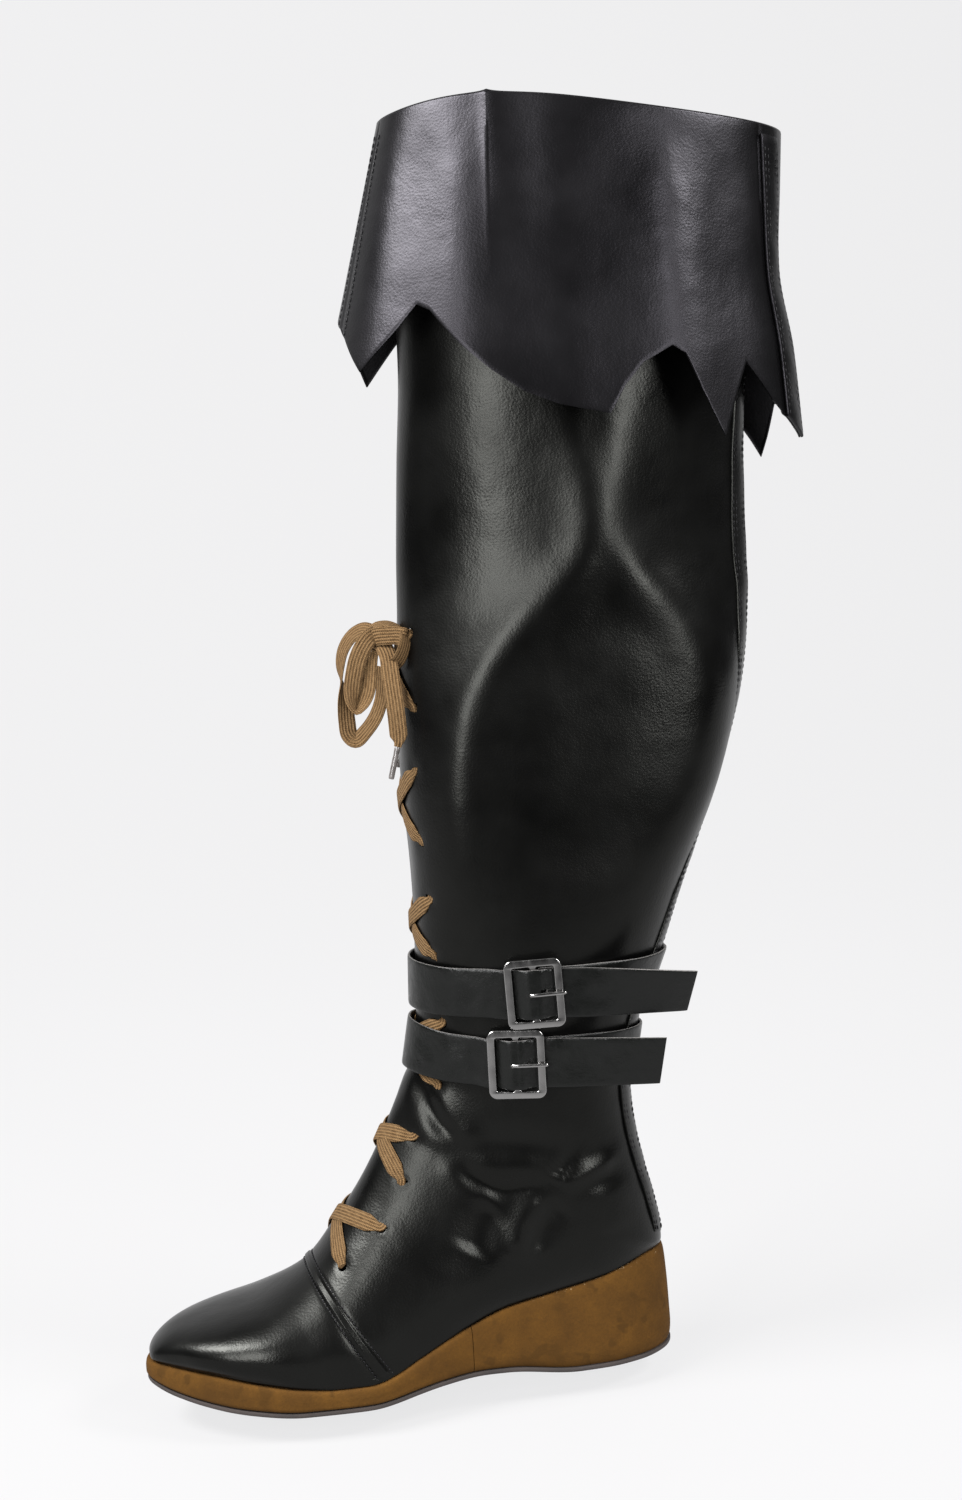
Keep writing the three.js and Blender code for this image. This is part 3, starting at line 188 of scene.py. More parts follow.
# Ankle and shaft sections, in shares of the shaft's depth, the boot's height and the shaft's width.
SHAFT_ROWS = table("front back up rear lateral medial widest full", [
    (0.386, 0.349, 0.225, 0.1214, 0.354, 0.349, 0.42, 2.05),
    (0.362, 0.32, 0.24, 0.157, 0.354, 0.352, 0.45, 2.05),
    (0.33, 0.297, 0.259, 0.194, 0.359, 0.357, 0.47, 2.05),
    (0.315, 0.2914, 0.285, 0.235, 0.375, 0.37, 0.5, 2.1),
    (0.31, 0.326, 0.312, 0.283, 0.396, 0.385, 0.5, 2.1),
    (0.306, 0.398, 0.343, 0.3366, 0.427, 0.41, 0.5, 2.2),
    (0.303, 0.454, 0.382, 0.382, 0.458, 0.43, 0.5, 2.35),
    (0.306, 0.51, 0.424, 0.424, 0.479, 0.45, 0.5, 2.5),
    (0.318, 0.59, 0.485, 0.485, 0.49, 0.47, 0.5, 2.6),
    (0.316, 0.656, 0.55, 0.55, 0.49, 0.47, 0.5, 2.45),
    (0.303, 0.687, 0.615, 0.615, 0.485, 0.47, 0.5, 2.0),
    (0.296, 0.692, 0.663, 0.663, 0.49, 0.475, 0.5, 1.75),
    (0.28, 0.692, 0.736, 0.736, 0.5, 0.485, 0.5, 1.9),
    (0.262, 0.709, 0.809, 0.809, 0.515, 0.5, 0.5, 2.1),
    (0.264, 0.765, 0.9, 0.9, 0.53, 0.52, 0.5, 2.15),
    (0.27, 0.82, 0.9935, 0.974, 0.54, 0.53, 0.5, 2.1),
])

# How far the cuff stands out as it falls, in shares of its flare.
FLARE_ROWS = table("along front side back", [
    (0, 0, 0, 0),
    (0.25, 0.25, 0.12, -0.05),
    (0.5, 0.5, 0.27, -0.1),
    (0.75, 0.75, 0.4, 0.06),
    (1, 0.95, 0.52, 0.14),
])

# Hem of the cuff: turn from the front seam to the back one, and drop, as shares.
HEM = {
    "lateral": [
        (0, 0.59), (0.055, 0.63), (0.12, 0.76), (0.186, 0.64), (0.215, 0.58), (0.239, 0.6),
        (0.286, 0.695), (0.335, 0.78), (0.38, 0.845), (0.428, 0.887), (0.494, 0.92), (0.513, 0.844),
        (0.539, 0.78), (0.58, 0.735), (0.599, 0.76), (0.62, 0.86), (0.655, 1), (0.685, 0.88),
        (0.712, 0.786), (0.77, 0.9), (0.81, 0.945), (0.848, 0.98), (0.885, 1.01), (0.905, 0.93),
        (0.95, 0.9), (1, 0.88),
    ],
    "medial": [
        (0.05, 0.61), (0.1, 0.67), (0.146, 0.78), (0.2, 0.66), (0.235, 0.59), (0.27, 0.62),
        (0.34, 0.76), (0.42, 0.87), (0.5, 0.92), (0.54, 0.8), (0.58, 0.74), (0.62, 0.84),
        (0.655, 0.99), (0.69, 0.86), (0.72, 0.8), (0.789, 0.98), (0.826, 1.06), (0.875, 0.9),
        (0.94, 0.88),
    ],
}

HEEL_ROW = 12
VAMP_ROW = 7
TOP_ROW = HEEL_ROW + 16
TURN_START = HEEL_ROW - 2
TURN_END = HEEL_ROW + 5


# The boot's form.

def lerp(a, b, share):
    return a + (b - a) * share


def smoothstep(x, low, high):
    share = np.clip((np.asarray(x, float) - low) / (high - low), 0, 1)
    return share * share * (3 - 2 * share)


def monotone(xs, ys):
    """A curve through a table's points that doesn't overshoot them."""
    xs, ys = np.asarray(xs, float), np.asarray(ys, float)
    secants = np.diff(ys) / np.diff(xs)
    slopes = np.concatenate([secants[:1], np.zeros(len(xs) - 2), secants[-1:]])
    for i in range(1, len(xs) - 1):
        product = secants[i - 1] * secants[i]
        if product > 0:
            slopes[i] = 2 * product / (secants[i - 1] + secants[i])

    def at(x):
        x = np.asarray(x, float)
        i = np.clip(np.searchsorted(xs, x, side="left") - 1, 0, len(xs) - 2)
        width = xs[i + 1] - xs[i]
        t = np.clip((x - xs[i]) / width, 0, 1)
        s = 1 - t
        return (ys[i] * s * s * (1 + 2 * t) + ys[i + 1] * t * t * (3 - 2 * t)
                + width * t * s * (slopes[i] * s - slopes[i + 1] * t))
    return at


def between(values, v):
    """A smooth value between numbered rows."""
    last = len(values) - 1
    i = np.clip(np.floor(v).astype(int), 0, last - 1)
    t = v - i
    a, b, c, d = (values[np.clip(i + k, 0, last)] for k in (-1, 0, 1, 2))
    return b + 0.5 * t * (c - a + t * (2 * a - 5 * b + 4 * c - d + t * (3 * (b - c) + d - a)))


def angle_of(along):
    """Places along the sole are turned into an angle, so that both round ends come out round."""
    return np.arccos(np.clip(1 - 2 * np.asarray(along, float), -1, 1))


def along_of(angle):
    return (1 - np.cos(angle)) / 2


half_width = {side: monotone(angle_of(SOLE_OUTLINE["along"]), SOLE_OUTLINE[side])
              for side in ("lateral", "medial")}
arch_share = monotone(SOLE_UNDER["along"], SOLE_UNDER["arch"])
spring_share = monotone(SOLE_UNDER["along"], SOLE_UNDER["spring"])
wedge_share = monotone(SOLE_TOP["along"], SOLE_TOP["wedge"])
nose_share = monotone(SOLE_TOP["along"], SOLE_TOP["nose"])
SIDES = {"lateral": 1, "medial": -1}


def sole_under(along):
    return ARCH_RISE * arch_share(along) + TOE_SPRING * spring_share(along)


def sole_top(along):
    rise = (HEEL_HEIGHT - PLATFORM_HEIGHT) * wedge_share(along)
    return PLATFORM_HEIGHT + rise + NOSE_RISE * nose_share(along)


def rake(along, share=1):
    """The wedge leans in towards its top at the heel."""
    return HEEL_RAKE * share * (1 - smoothstep(along, 0, 0.3))


def outline_point(side, angle, inset):
    """Place along the boot and half width of the sole's outline, moved inwards by an inset."""
    angle = np.asarray(angle, float)

    def at(q):
        return SOLE_LENGTH * along_of(q) - HEEL_SEAT_BACK, BALL_WIDTH * half_width[side](q)
    step = 1e-3
    x0, w0 = at(np.maximum(angle - step, 0))
    x1, w1 = at(np.minimum(angle + step, math.pi))
    length = np.hypot(x1 - x0, w1 - w0)
    at_end = (angle < step) | (angle > math.pi - step)
    inward_x = np.where(at_end, np.where(angle < 1, 1, -1), (w1 - w0) / length)
    inward_w = np.where(at_end, 0, -(x1 - x0) / length)
    x, w = at(angle)
    return x + inset * inward_x, np.maximum(w + inset * inward_w, 0)


def feather_point(side, along):
    return outline_point(side, angle_of(along), FEATHER_INSET + rake(along))


def section_columns():
    """The rows of both section tables as real sizes."""
    foot, shaft = FOOT_ROWS, SHAFT_ROWS
    count = len(shaft["front"])
    zero, half = np.zeros(count), np.full(count, 0.5)

    def join(a, b):
        return np.concatenate([a, b])
    return {
        "frontX": join(SOLE_LENGTH * foot["front"] - HEEL_SEAT_BACK,
                       SHAFT_PIVOT + SHAFT_DEPTH * shaft["front"]),
        "frontZ": join(INSTEP_HEIGHT * foot["up"], BOOT_HEIGHT * shaft["up"]),
        "backX": join(feather_point("lateral", foot["foot"])[0],
                      SHAFT_PIVOT - SHAFT_DEPTH * shaft["back"]),
        "backZ": join(sole_top(foot["foot"]) + FEATHER_GAP, BOOT_HEIGHT * shaft["rear"]),
        "foot": join(foot["foot"], zero),
        "lateral": join(BALL_WIDTH * foot["lateral"], SHAFT_WIDTH * shaft["lateral"]),
        "medial": join(BALL_WIDTH * foot["medial"], SHAFT_WIDTH * shaft["medial"]),
        "widest": join(foot["widest"], shaft["widest"]),
        "fullLateral": join(foot["full"], shaft["full"]),
        "fullMedial": join(foot["full"], np.full(count, 2.1)),
        "crown": join(np.zeros(HEEL_ROW + 1), np.clip(np.arange(count) - count + 2, 0, 1)),
        "lower": join(lerp(0.25, 0.5, np.clip(foot["widest"] * 8 - 2.2, 0, 1)), half),
    }


SECTIONS = section_columns()


def turned(x, y, z, v=TURN_END):
    """The shaft is turned a little inwards on the foot."""
    turn = SHAFT_TURN * smoothstep(v, TURN_START, TURN_END)
    c, s = np.cos(turn), np.sin(turn)
    ahead = np.asarray(x, float) - SHAFT_PIVOT
    parts = np.broadcast_arrays(SHAFT_PIVOT + ahead * c + y * s, y * c - ahead * s, z)
    return np.stack(parts, -1).astype(float)


def skin_point(v, t):
    """A point of the upper's outer face. v numbers the section, from the toe up to the collar.
    t runs round it: 0 at the outer foot of the section, or the back, 0.5 the front, 1 the inner foot."""
    v, t = (np.array(a, float) for a in np.broadcast_arrays(v, t))
    row = {name: between(column, v) for name, column in SECTIONS.items()}
    outer = t <= 0.5
    climb = np.where(outer, 2 * t, 2 * (1 - t))
    is_open = v < HEEL_ROW
    along = np.clip(row["foot"], 0, 1)
    foot_x, foot_w = (np.where(outer, a, b) for a, b in
                      zip(feather_point("lateral", along), feather_point("medial", along)))
    foot_x = np.where(is_open, foot_x, row["backX"])
    foot_w = np.where(is_open, foot_w, 0)
    foot_z = np.where(is_open, sole_top(along) + FEATHER_GAP, row["backZ"])
    widest = np.maximum(np.where(outer, row["lateral"], row["medial"]), foot_w * 1.01 + 0.05)
    power = 2 / np.where(outer, row["fullLateral"], row["fullMedial"])
    start = np.arccos(np.clip((foot_w / widest) ** (1 / power), 0, 1))
    low = climb < row["lower"]
    angle = start * np.clip(1 - climb / row["lower"], 0, 1)
    reach = (np.sin(angle) / np.sin(start)) ** power
    keen = lerp(1, BACK_KEEN, smoothstep(v, HEEL_ROW, TURN_END))
    low_share = row["widest"] * (1 - reach)
    low_width = widest * np.cos(angle).clip(0) ** (power * keen)
    angle = math.pi / 2 * np.clip((climb - row["lower"]) / (1 - row["lower"]), 0, 1)
    high_share = row["widest"] + (1 - row["widest"]) * np.sin(angle) ** power
    high_width = widest * np.cos(angle).clip(0) ** power
    share = np.where(low, low_share, high_share)
    width = np.where(low, low_width, high_width)
    crown = RIM_CROWN * row["crown"].clip(0) * np.sin(math.pi * share ** 2.2)
    return turned(lerp(foot_x, row["frontX"], share), np.where(outer, 1, -1) * width,
                  lerp(foot_z, row["frontZ"], share) + crown, v)


def unit(a):
    return a / np.maximum(np.linalg.norm(a, axis=-1, keepdims=True), 1e-12)


def skin_normal(v, t):
    v, t = (np.array(a, float) for a in np.broadcast_arrays(v, t))
    dv, dt = 0.02, 0.004
    up = skin_point(np.minimum(v + dv, TOP_ROW), t) - skin_point(np.maximum(v - dv, 0.001), t)

    def wrap(s):
        return np.where(v < HEEL_ROW, np.clip(s, 0, 1), (s + 1) % 1)
    around_it = skin_point(v, wrap(t + dt)) - skin_point(v, wrap(t - dt))
    return unit(np.cross(up, around_it))


def skin(v, t, off):
    return skin_point(v, t) + skin_normal(v, t) * np.asarray(off, float)[..., None]


def steps_of(points):
    return np.linalg.norm(np.diff(points, axis=0), axis=1)


def length_of(points):
    return float(steps_of(points).sum())


def walked_along(points, power=1):
    """Distance from the first point at each point of a line."""
    return np.concatenate([[0], np.cumsum(steps_of(points) ** power)])


def around(v, start, distance):
    """Going round a section from the back (0) or the front (0.5): the place that lies a distance
    towards the outer side, or the inner side if the distance is negative."""
    step, count = 0.002, 180
    direction = (1 if start == 0 else -1) * np.sign(distance)
    t = start + direction * step * np.arange(count)
    walked = walked_along(skin_point(v, (t + 1) % 1))
    return float((np.interp(abs(distance), walked, t) + 1) % 1)


def section_at_height(t, height):
    """The sections whose points on given lines round the boot lie at given heights."""
    t, height = (np.array(a, float) for a in np.broadcast_arrays(t, height))
    low, high = np.full(t.shape, HEEL_ROW - 3.0), np.full(t.shape, float(TOP_ROW))
    for _ in range(26):
        middle = (low + high) / 2
        below = skin_point(middle, t)[..., 2] < height
        low, high = np.where(below, middle, low), np.where(below, high, middle)
    return (low + high) / 2


# The cuff's form.

flare_share = {name: monotone(FLARE_ROWS["along"], FLARE_ROWS[name])
               for name in ("front", "side", "back")}


def cuff_spread(outer, turn, drop):
    ahead = np.cos(math.pi * turn)
    end = np.where(ahead > 0, flare_share["front"](drop), flare_share["back"](drop))
    spread = CUFF_FLARE * lerp(flare_share["side"](drop), end, ahead * ahead)
    near = np.clip(1 - np.abs(turn - CUFF_FOLD) / 0.05, 0, 1)
    crease = CUFF_CREASE * near * np.clip(1 - 1.3 * drop, 0, 1)
    return spread + np.where(outer, crease, 0)


def side_turn(outer, turn):
    """Place round a section from a turn: 0 at the front seam, 1 at the back."""
    return np.where(outer, (1 - turn) / 2, ((1 + turn) / 2) % 1)


def rim_of(t):
    """Points of the shaft's rim and the level ways out from them."""
    outwards = skin_normal(TOP_ROW, t)
    outwards[..., 2] = 0
    return skin_point(TOP_ROW, t), unit(outwards)


def cuff_point(outer, turn, down, hem_drop, off):
    """A point of the cuff's skirt: down is 0 at the shaft's rim and 1 at the hem."""
    outer, turn, down, hem_drop, off = (np.array(a) for a in
                                        np.broadcast_arrays(outer, turn, down, hem_drop, off))
    rim, outwards = rim_of(side_turn(outer, turn))
    z = lerp(rim[..., 2], BOOT_HEIGHT - CUFF_DROP * hem_drop, down)
    drop = (BOOT_HEIGHT - z) / CUFF_DROP
    start = (BOOT_HEIGHT - rim[..., 2]) / CUFF_DROP
    spread = np.maximum(cuff_spread(outer, turn, drop)
                        - cuff_spread(outer, turn, start) * (1 - down), -6)
    point = rim + outwards * (spread + off)[..., None]
    point[..., 2] = z
    return point


# Mesh making.

def quads(rows, columns, ring=False):
    """Faces of a grid of points, facing the way that rows crossed with columns point."""
    i = np.arange(rows - 1)[:, None]
    j = np.arange(columns if ring else columns - 1)[None, :]
    after = (j + 1) % columns
    faces = [i * columns + j, (i + 1) * columns + j, (i + 1) * columns + after, i * columns + after]
    return np.stack(np.broadcast_arrays(*faces), -1).reshape(-1, 4)


def shown(name, data):
    """A new object in the scene."""
    made = bpy.data.objects.new(name, data)
    bpy.context.scene.collection.objects.link(made)
    return made


def repaired(mesh, merge=True, outwards=False):
    """Joins a mesh's doubled points, turns its faces outwards, or both."""
    body = bmesh.new()
    body.from_mesh(mesh)
    if merge:
        bmesh.ops.remove_doubles(body, verts=body.verts, dist=1e-6)
    if outwards:
        bmesh.ops.recalc_face_normals(body, faces=body.faces)
    body.to_mesh(mesh)
    body.free()


def smoothed(mesh, crisp):
    """Shades a mesh smooth, but for edges bent more than crisp degrees."""
    mesh.shade_smooth()
    mesh.set_sharp_from_angle(angle=math.radians(crisp))


def piece(name, points, faces, crisp=40, uv=None):
    """A smooth-shaded mesh object from points in millimetres."""
    mesh = bpy.data.meshes.new(name)
    faces = [[k for n, k in enumerate(face) if k != face[n - 1]] for face in np.asarray(faces).tolist()]
    mesh.from_pydata((np.asarray(points) * MM).tolist(), [], faces)
    if uv is not None:
        corners = np.empty(len(mesh.loops), int)
        mesh.loops.foreach_get("vertex_index", corners)
        layer = mesh.uv_layers.new(name="along")
        layer.data.foreach_set("uv", np.asarray(uv, np.float32)[corners].ravel())
    repaired(mesh)
    smoothed(mesh, crisp)
    return shown(f"{name}_finished", mesh)


def open_edges(faces):
    """Edges that belong to one face alone, each as that face runs along it."""
    edges = np.concatenate([faces[:, [k, (k + 1) % 4]] for k in range(4)])
    edges = edges[edges[:, 0] != edges[:, 1]]
    low, high = edges.min(1), edges.max(1)
    _, index, count = np.unique(low * (faces.max() + 1) + high, return_index=True, return_counts=True)
    return edges[index[count == 1]]


def walled(name, outer, inner, faces, crisp=40):
    """A closed wall from an outer skin and an inner one, joined along every open edge."""
    outer, inner = outer.reshape(-1, 3), inner.reshape(-1, 3)
    count = len(outer)
    start, end = open_edges(faces).T
    rim = np.stack([end, start, start + count, end + count], -1)
    return piece(name, np.concatenate([outer, inner]),
                 np.concatenate([faces, faces[:, ::-1] + count, rim]), crisp)


def face_out(made):
    """Turns the faces of a closed piece outwards."""
    repaired(made.data, merge=False, outwards=True)
    return made


def curve_through(points, count):
    """Centripetal curve through points, at even distances. Returns rows of any width."""
    points = np.asarray(points, float)
    padded = np.concatenate([2 * points[:1] - points[1:2], points, 2 * points[-1:] - points[-2:-1]])
    knots = walked_along(padded[:, :3], 0.5)
    dense = []
    for i in range(1, len(padded) - 2):
        t = np.linspace(knots[i], knots[i + 1], 24, endpoint=False)[:, None]
        p, k = padded[i - 1:i + 3], knots[i - 1:i + 3]
        a = [((k[j + 1] - t) * p[j] + (t - k[j]) * p[j + 1]) / (k[j + 1] - k[j]) for j in range(3)]
        b = [((k[j + 2] - t) * a[j] + (t - k[j]) * a[j + 1]) / (k[j + 2] - k[j]) for j in range(2)]
        dense.append(((k[2] - t) * b[0] + (t - k[1]) * b[1]) / (k[2] - k[1]))
    dense = np.concatenate(dense + [points[-1:]])
    walked = walked_along(dense[:, :3])
    even = np.linspace(0, walked[-1], count)
    return np.stack([np.interp(even, walked, column) for column in dense.T], -1)


def run_of(points):
    """Direction of travel along a line of points."""
    return unit(np.gradient(points, axis=0))


def across_run(across, run):
    return unit(across - (across * run).sum(-1, keepdims=True) * run)


def ribbon(name, middle, across, width, thickness, edge=0.34, crisp=60):
    """A flat band with rounded edges, swept along a line of points, with its own length and width as UV."""
    run = run_of(middle)
    across = across_run(across, run)
    out = np.cross(across, run)
    width, thickness = (np.broadcast_to(a, len(middle)) for a in (width, thickness))
    turn = np.linspace(0, 2 * math.pi, 24, endpoint=False)
    sideways = np.sign(np.cos(turn)) * np.abs(np.cos(turn)) ** edge
    raised = np.sign(np.sin(turn)) * np.abs(np.sin(turn)) ** 0.62
    points = (middle[:, None] + across[:, None] * (sideways[:, None] * width[:, None, None] / 2)
              + out[:, None] * (raised[:, None] * thickness[:, None, None] / 2))
    walked = walked_along(middle)
    columns = len(turn)
    faces = quads(len(middle), columns, ring=True)
    last = (len(middle) - 1) * columns
    half = columns // 2
    caps = []
    for start, flip in ((0, False), (last, True)):
        for k in range(half - 1):
            cap = [start + k, start + k + 1, start + columns - 2 - k, start + columns - 1 - k]
            caps.append(cap[::-1] if flip else cap)
    uv = np.stack(np.broadcast_arrays(sideways[None, :] * width[:, None] / 2, walked[:, None]), -1)
    faces = np.concatenate([faces, caps])
    return face_out(piece(name, points.reshape(-1, 3), faces, crisp, uv.reshape(-1, 2)))


# Materials. Colours are sRGB hex values, pattern sizes are in millimetres.

def srgb(code):
    parts = [int(code[k:k + 2], 16) / 255 for k in (1, 3, 5)]
    return tuple(c / 12.92 if c < 0.04045 else ((c + 0.055) / 1.055) ** 2.4 for c in parts) + (1.0,)


def add(tree, kind, inputs=(), **settings):
    """Adds a node, with its settings, its values and what its sockets are linked from."""
    node = tree.nodes.new(kind)
    for name, value in settings.items():
        setattr(node, name, value)
    for name, value in dict(inputs).items():
        if isinstance(value, bpy.types.NodeSocket):
            tree.links.new(value, node.inputs[name])
        else:
            node.inputs[name].default_value = value
    return node


def finish(name, colour, roughness, **shader):
    """A material with its tree, its shader and the piece's own coordinates in millimetres."""
    material = bpy.data.materials.new(name)
    material.use_nodes = True
    tree = material.node_tree
    surface = tree.nodes["Principled BSDF"]
    surface.inputs["Base Color"].default_value = srgb(colour)
    surface.inputs["Roughness"].default_value = roughness
    for key, value in shader.items():
        surface.inputs[key.replace("_", " ")].default_value = value
    place = add(tree, "ShaderNodeTexCoord").outputs["Object"]
    place = add(tree, "ShaderNodeVectorMath", {0: place, "Scale": 1000.0}, operation="SCALE").outputs[0]
    return material, tree, surface, place


def noise(tree, place, size, detail=3, roughness=0.5, stretch=(1, 1, 1)):
    """Soft noise whose features are about a size in millimetres."""
    scaled = add(tree, "ShaderNodeVectorMath", {0: place, 1: [s / size for s in stretch]},
                 operation="MULTIPLY").outputs[0]
    return add(tree, "ShaderNodeTexNoise", {"Vector": scaled, "Scale": 1.0, "Detail": detail,
                                            "Roughness": roughness}).outputs["Fac"]


def maths(tree, operation, *values):
    return add(tree, "ShaderNodeMath", dict(enumerate(values)), operation=operation).outputs[0]


def ranged(tree, value, low, high, start=0.3, end=0.7):
    return add(tree, "ShaderNodeMapRange", {"Value": value, "From Min": start, "From Max": end,
                                            "To Min": low, "To Max": high}).outputs["Result"]


def blended(tree, share, first, second):
    """One colour into another by a share."""
    mix = add(tree, "ShaderNodeMix", {0: share}, data_type="RGBA")
    for socket, colour in ((mix.inputs[6], first), (mix.inputs[7], second)):
        if isinstance(colour, str):
            socket.default_value = srgb(colour)
        else:
            tree.links.new(colour, socket)
    return mix.outputs[2]


def bumped(tree, surface, heights):
    """Stacks reliefs on a shader, each a value and its height in millimetres."""
    normal = None
    for value, height in heights:
        inputs = {"Height": value, "Distance": height * MM, "Strength": 1.0}
        if normal is not None:
            inputs["Normal"] = normal
        normal = add(tree, "ShaderNodeBump", inputs).outputs["Normal"]
    tree.links.new(normal, surface.inputs["Normal"])


def shaded(tree, surface, value, first, second):
    """Colours a shader from one colour to another by a noise."""
    tree.links.new(blended(tree, ranged(tree, value, 0, 1), first, second), surface.inputs["Base Color"])


def roughened(tree, surface, value, low, high):
    """Varies a shader's roughness by a noise."""
    tree.links.new(ranged(tree, value, low, high), surface.inputs["Roughness"])


def cells(tree, place, size, smoothness):
    """Rounded cells of a grain, about a size across."""
    inputs = {"Vector": place, "Scale": 1 / size, "Smoothness": smoothness, "Randomness": 1.0}
    return add(tree, "ShaderNodeTexVoronoi", inputs, feature="SMOOTH_F1").outputs["Distance"]


def black_leather(name, shine, slackness, polish):
    """Soft synthetic leather: polyurethane on knit. Fine even grain, broad soft highlights tinted by the
    shine colour, small pulled wrinkles, near black. The tint is partly the leather's own faint cast and
    partly a painted cast of the light on each part."""
    material, tree, surface, place = finish(name, "#040404", 0.28, Specular_IOR_Level=0.19,
                                            Specular_Tint=srgb(shine))
    grain = cells(tree, place, 1.1, 0.6)
    pull = noise(tree, place, 7, 4, 0.55, (1.5, 1.5, 0.7))
    slack = noise(tree, place, 26, 2)
    worn = noise(tree, place, 45, 3)
    roughened(tree, surface, worn, polish, polish + 0.11)
    shaded(tree, surface, worn, "#020202", "#050505")
    bumped(tree, surface, [(slack, 0.9 * slackness), (pull, 0.14 * slackness), (grain, 0.045)])
    return material


def strap_leather():
    """Smoother, firmer synthetic leather of the straps: tight grain, a little green in the black."""
    material, tree, surface, place = finish("firm strap leather", "#050605", 0.4, Specular_IOR_Level=0.26)
    grain = cells(tree, place, 0.8, 0.5)
    wave = noise(tree, place, 14, 3)
    roughened(tree, surface, noise(tree, place, 9, 3), 0.26, 0.4)
    bumped(tree, surface, [(wave, 0.9), (grain, 0.06)])
    return material


def suede_cover():
    """Brushed synthetic suede over the wedge: matt warm brown, mottled where the nap lies
    different ways, with pale specks of glue near the joint with the leather."""
    material, tree, surface, place = finish("brushed suede cover", "#5c3c12", 0.94, Specular_IOR_Level=0.12)
    patches = noise(tree, place, 16, 4, 0.6)
    nap = noise(tree, place, 1.1, 3, 0.6)
    spots = ranged(tree, noise(tree, place, 9, 2), 0, 1, 0.58, 0.66)
    shade = blended(tree, ranged(tree, patches, 0, 1), "#3f290d", "#503511")
    shade = blended(tree, ranged(tree, nap, 0, 0.4), shade, "#33220a")
    shade = blended(tree, spots, shade, "#3d280c")
    edge = add(tree, "ShaderNodeAttribute", attribute_name="from_edge").outputs["Fac"]
    near = ranged(tree, edge, 1, 0, 0.6, 3.2)
    specks = ranged(tree, noise(tree, place, 2.1, 4, 0.7), 0, 1, 0.63, 0.67)
    forward = add(tree, "ShaderNodeSeparateXYZ", {0: place}).outputs[0]
    glue = maths(tree, "MULTIPLY", maths(tree, "MULTIPLY", near, specks), ranged(tree, forward, 1, 0, 10, 50))
    tree.links.new(blended(tree, glue, shade, "#8a765a"), surface.inputs["Base Color"])
    bumped(tree, surface, [(patches, 0.3), (nap, 0.16)])
    return material


def sole_rubber():
    """Moulded rubber of the outsole: almost black, dull, with a fine pebble."""
    material, tree, surface, place = finish("moulded sole rubber", "#272120", 0.72)
    pebble = noise(tree, place, 0.9, 2)
    shaded(tree, surface, noise(tree, place, 22, 3), "#231e1d", "#322a27")
    bumped(tree, surface, [(pebble, 0.12)])
    return material


def insole_cloth():
    """Thin lining cloth on board: dull dark weave."""
    material, tree, surface, place = finish("insole lining cloth", "#2c2b2d", 0.93)
    weave = add(tree, "ShaderNodeTexWave", {"Vector": place, "Scale": 0.45, "Distortion": 1.5},
                bands_direction="DIAGONAL").outputs["Fac"]
    bumped(tree, surface, [(weave, 0.1)])
    return material


def flat_lace():
    """Woven cotton lace: five or six ribs along it, slanting threads, matt tan, with painted shade that
    darkens the valleys between the ribs.
    """
    material, tree, surface, _ = finish("woven cotton lace", "#604a30", 0.9, Specular_IOR_Level=0.15)
    uv = add(tree, "ShaderNodeUVMap", uv_map="along").outputs["UV"]
    spot = add(tree, "ShaderNodeSeparateXYZ", {0: uv})

    def wave(at, length, form):
        at = maths(tree, "MULTIPLY", at, 2 * math.pi / length)
        return ranged(tree, maths(tree, form, at), 0, 1, -1, 1)
    rib_relief_and_shade = wave(spot.outputs[0], 1.5, "COSINE")
    thread = wave(maths(tree, "MULTIPLY_ADD", spot.outputs[0], 0.6, spot.outputs[1]), 0.95, "SINE")
    flat = add(tree, "ShaderNodeVectorMath", {0: uv, 1: (0.9, 0.35, 1)}, operation="MULTIPLY").outputs[0]
    fuzz = add(tree, "ShaderNodeTexNoise", {"Vector": flat, "Scale": 1.0, "Detail": 3}).outputs["Fac"]
    # painted shade: the colour runs dark in the valleys between the ribs and light on their crests, following
    # the rib relief
    shade = blended(tree, rib_relief_and_shade, "#32220f", "#685034")
    shade = blended(tree, ranged(tree, thread, 0, 0.35), shade, "#402c17")
    shade = blended(tree, ranged(tree, fuzz, 0, 0.45), shade, "#765f42")
    tree.links.new(shade, surface.inputs["Base Color"])
    bumped(tree, surface, [(rib_relief_and_shade, 0.34), (thread, 0.14)])
    return material


def polished_nickel():
    """Die-cut nickel plate, tumbled and polished: bright, with faint rub marks."""
    material, tree, surface, place = finish("polished nickel plate", "#8f8e8d", 0.16, Metallic=1.0)
    rubs = noise(tree, place, 3, 4, 0.6, (1, 1, 0.25))
    roughened(tree, surface, rubs, 0.12, 0.27)
    bumped(tree, surface, [(noise(tree, place, 15, 1), 0.5), (rubs, 0.02)])
    return material


def clear_tip():
    """Rolled plastic film on the lace ends: grey where the cord shows through, glossy."""
    material, tree, surface, place = finish("rolled plastic film", "#454140", 0.28, Coat_Weight=0.5)
    fold = noise(tree, place, 2.5, 2)
    shaded(tree, surface, fold, "#383433", "#5e5a58")
    bumped(tree, surface, [(fold, 0.1)])
    return material


def bonded_thread():
    """Waxed polyester sewing thread: black, with a soft shine on each stitch."""
    material, tree, surface, place = finish("waxed sewing thread", "#0e0d10", 0.5, Specular_IOR_Level=0.2)
    bumped(tree, surface, [(noise(tree, place, 0.4, 2), 0.05)])
    return material


def cut_edge_and_highlight():
    """Cut edge of the strap's leather: pale grey, partly the backing that shows between the faces and partly
    a painted highlight line along the strap's edges.
    """
    material, tree, surface, place = finish("cut leather edge and painted highlight", "#4b4a4a", 0.8)
    fibre = noise(tree, place, 0.8, 3)
    shaded(tree, surface, fibre, "#3a393a", "#65625f")
    bumped(tree, surface, [(fibre, 0.1)])
    return material
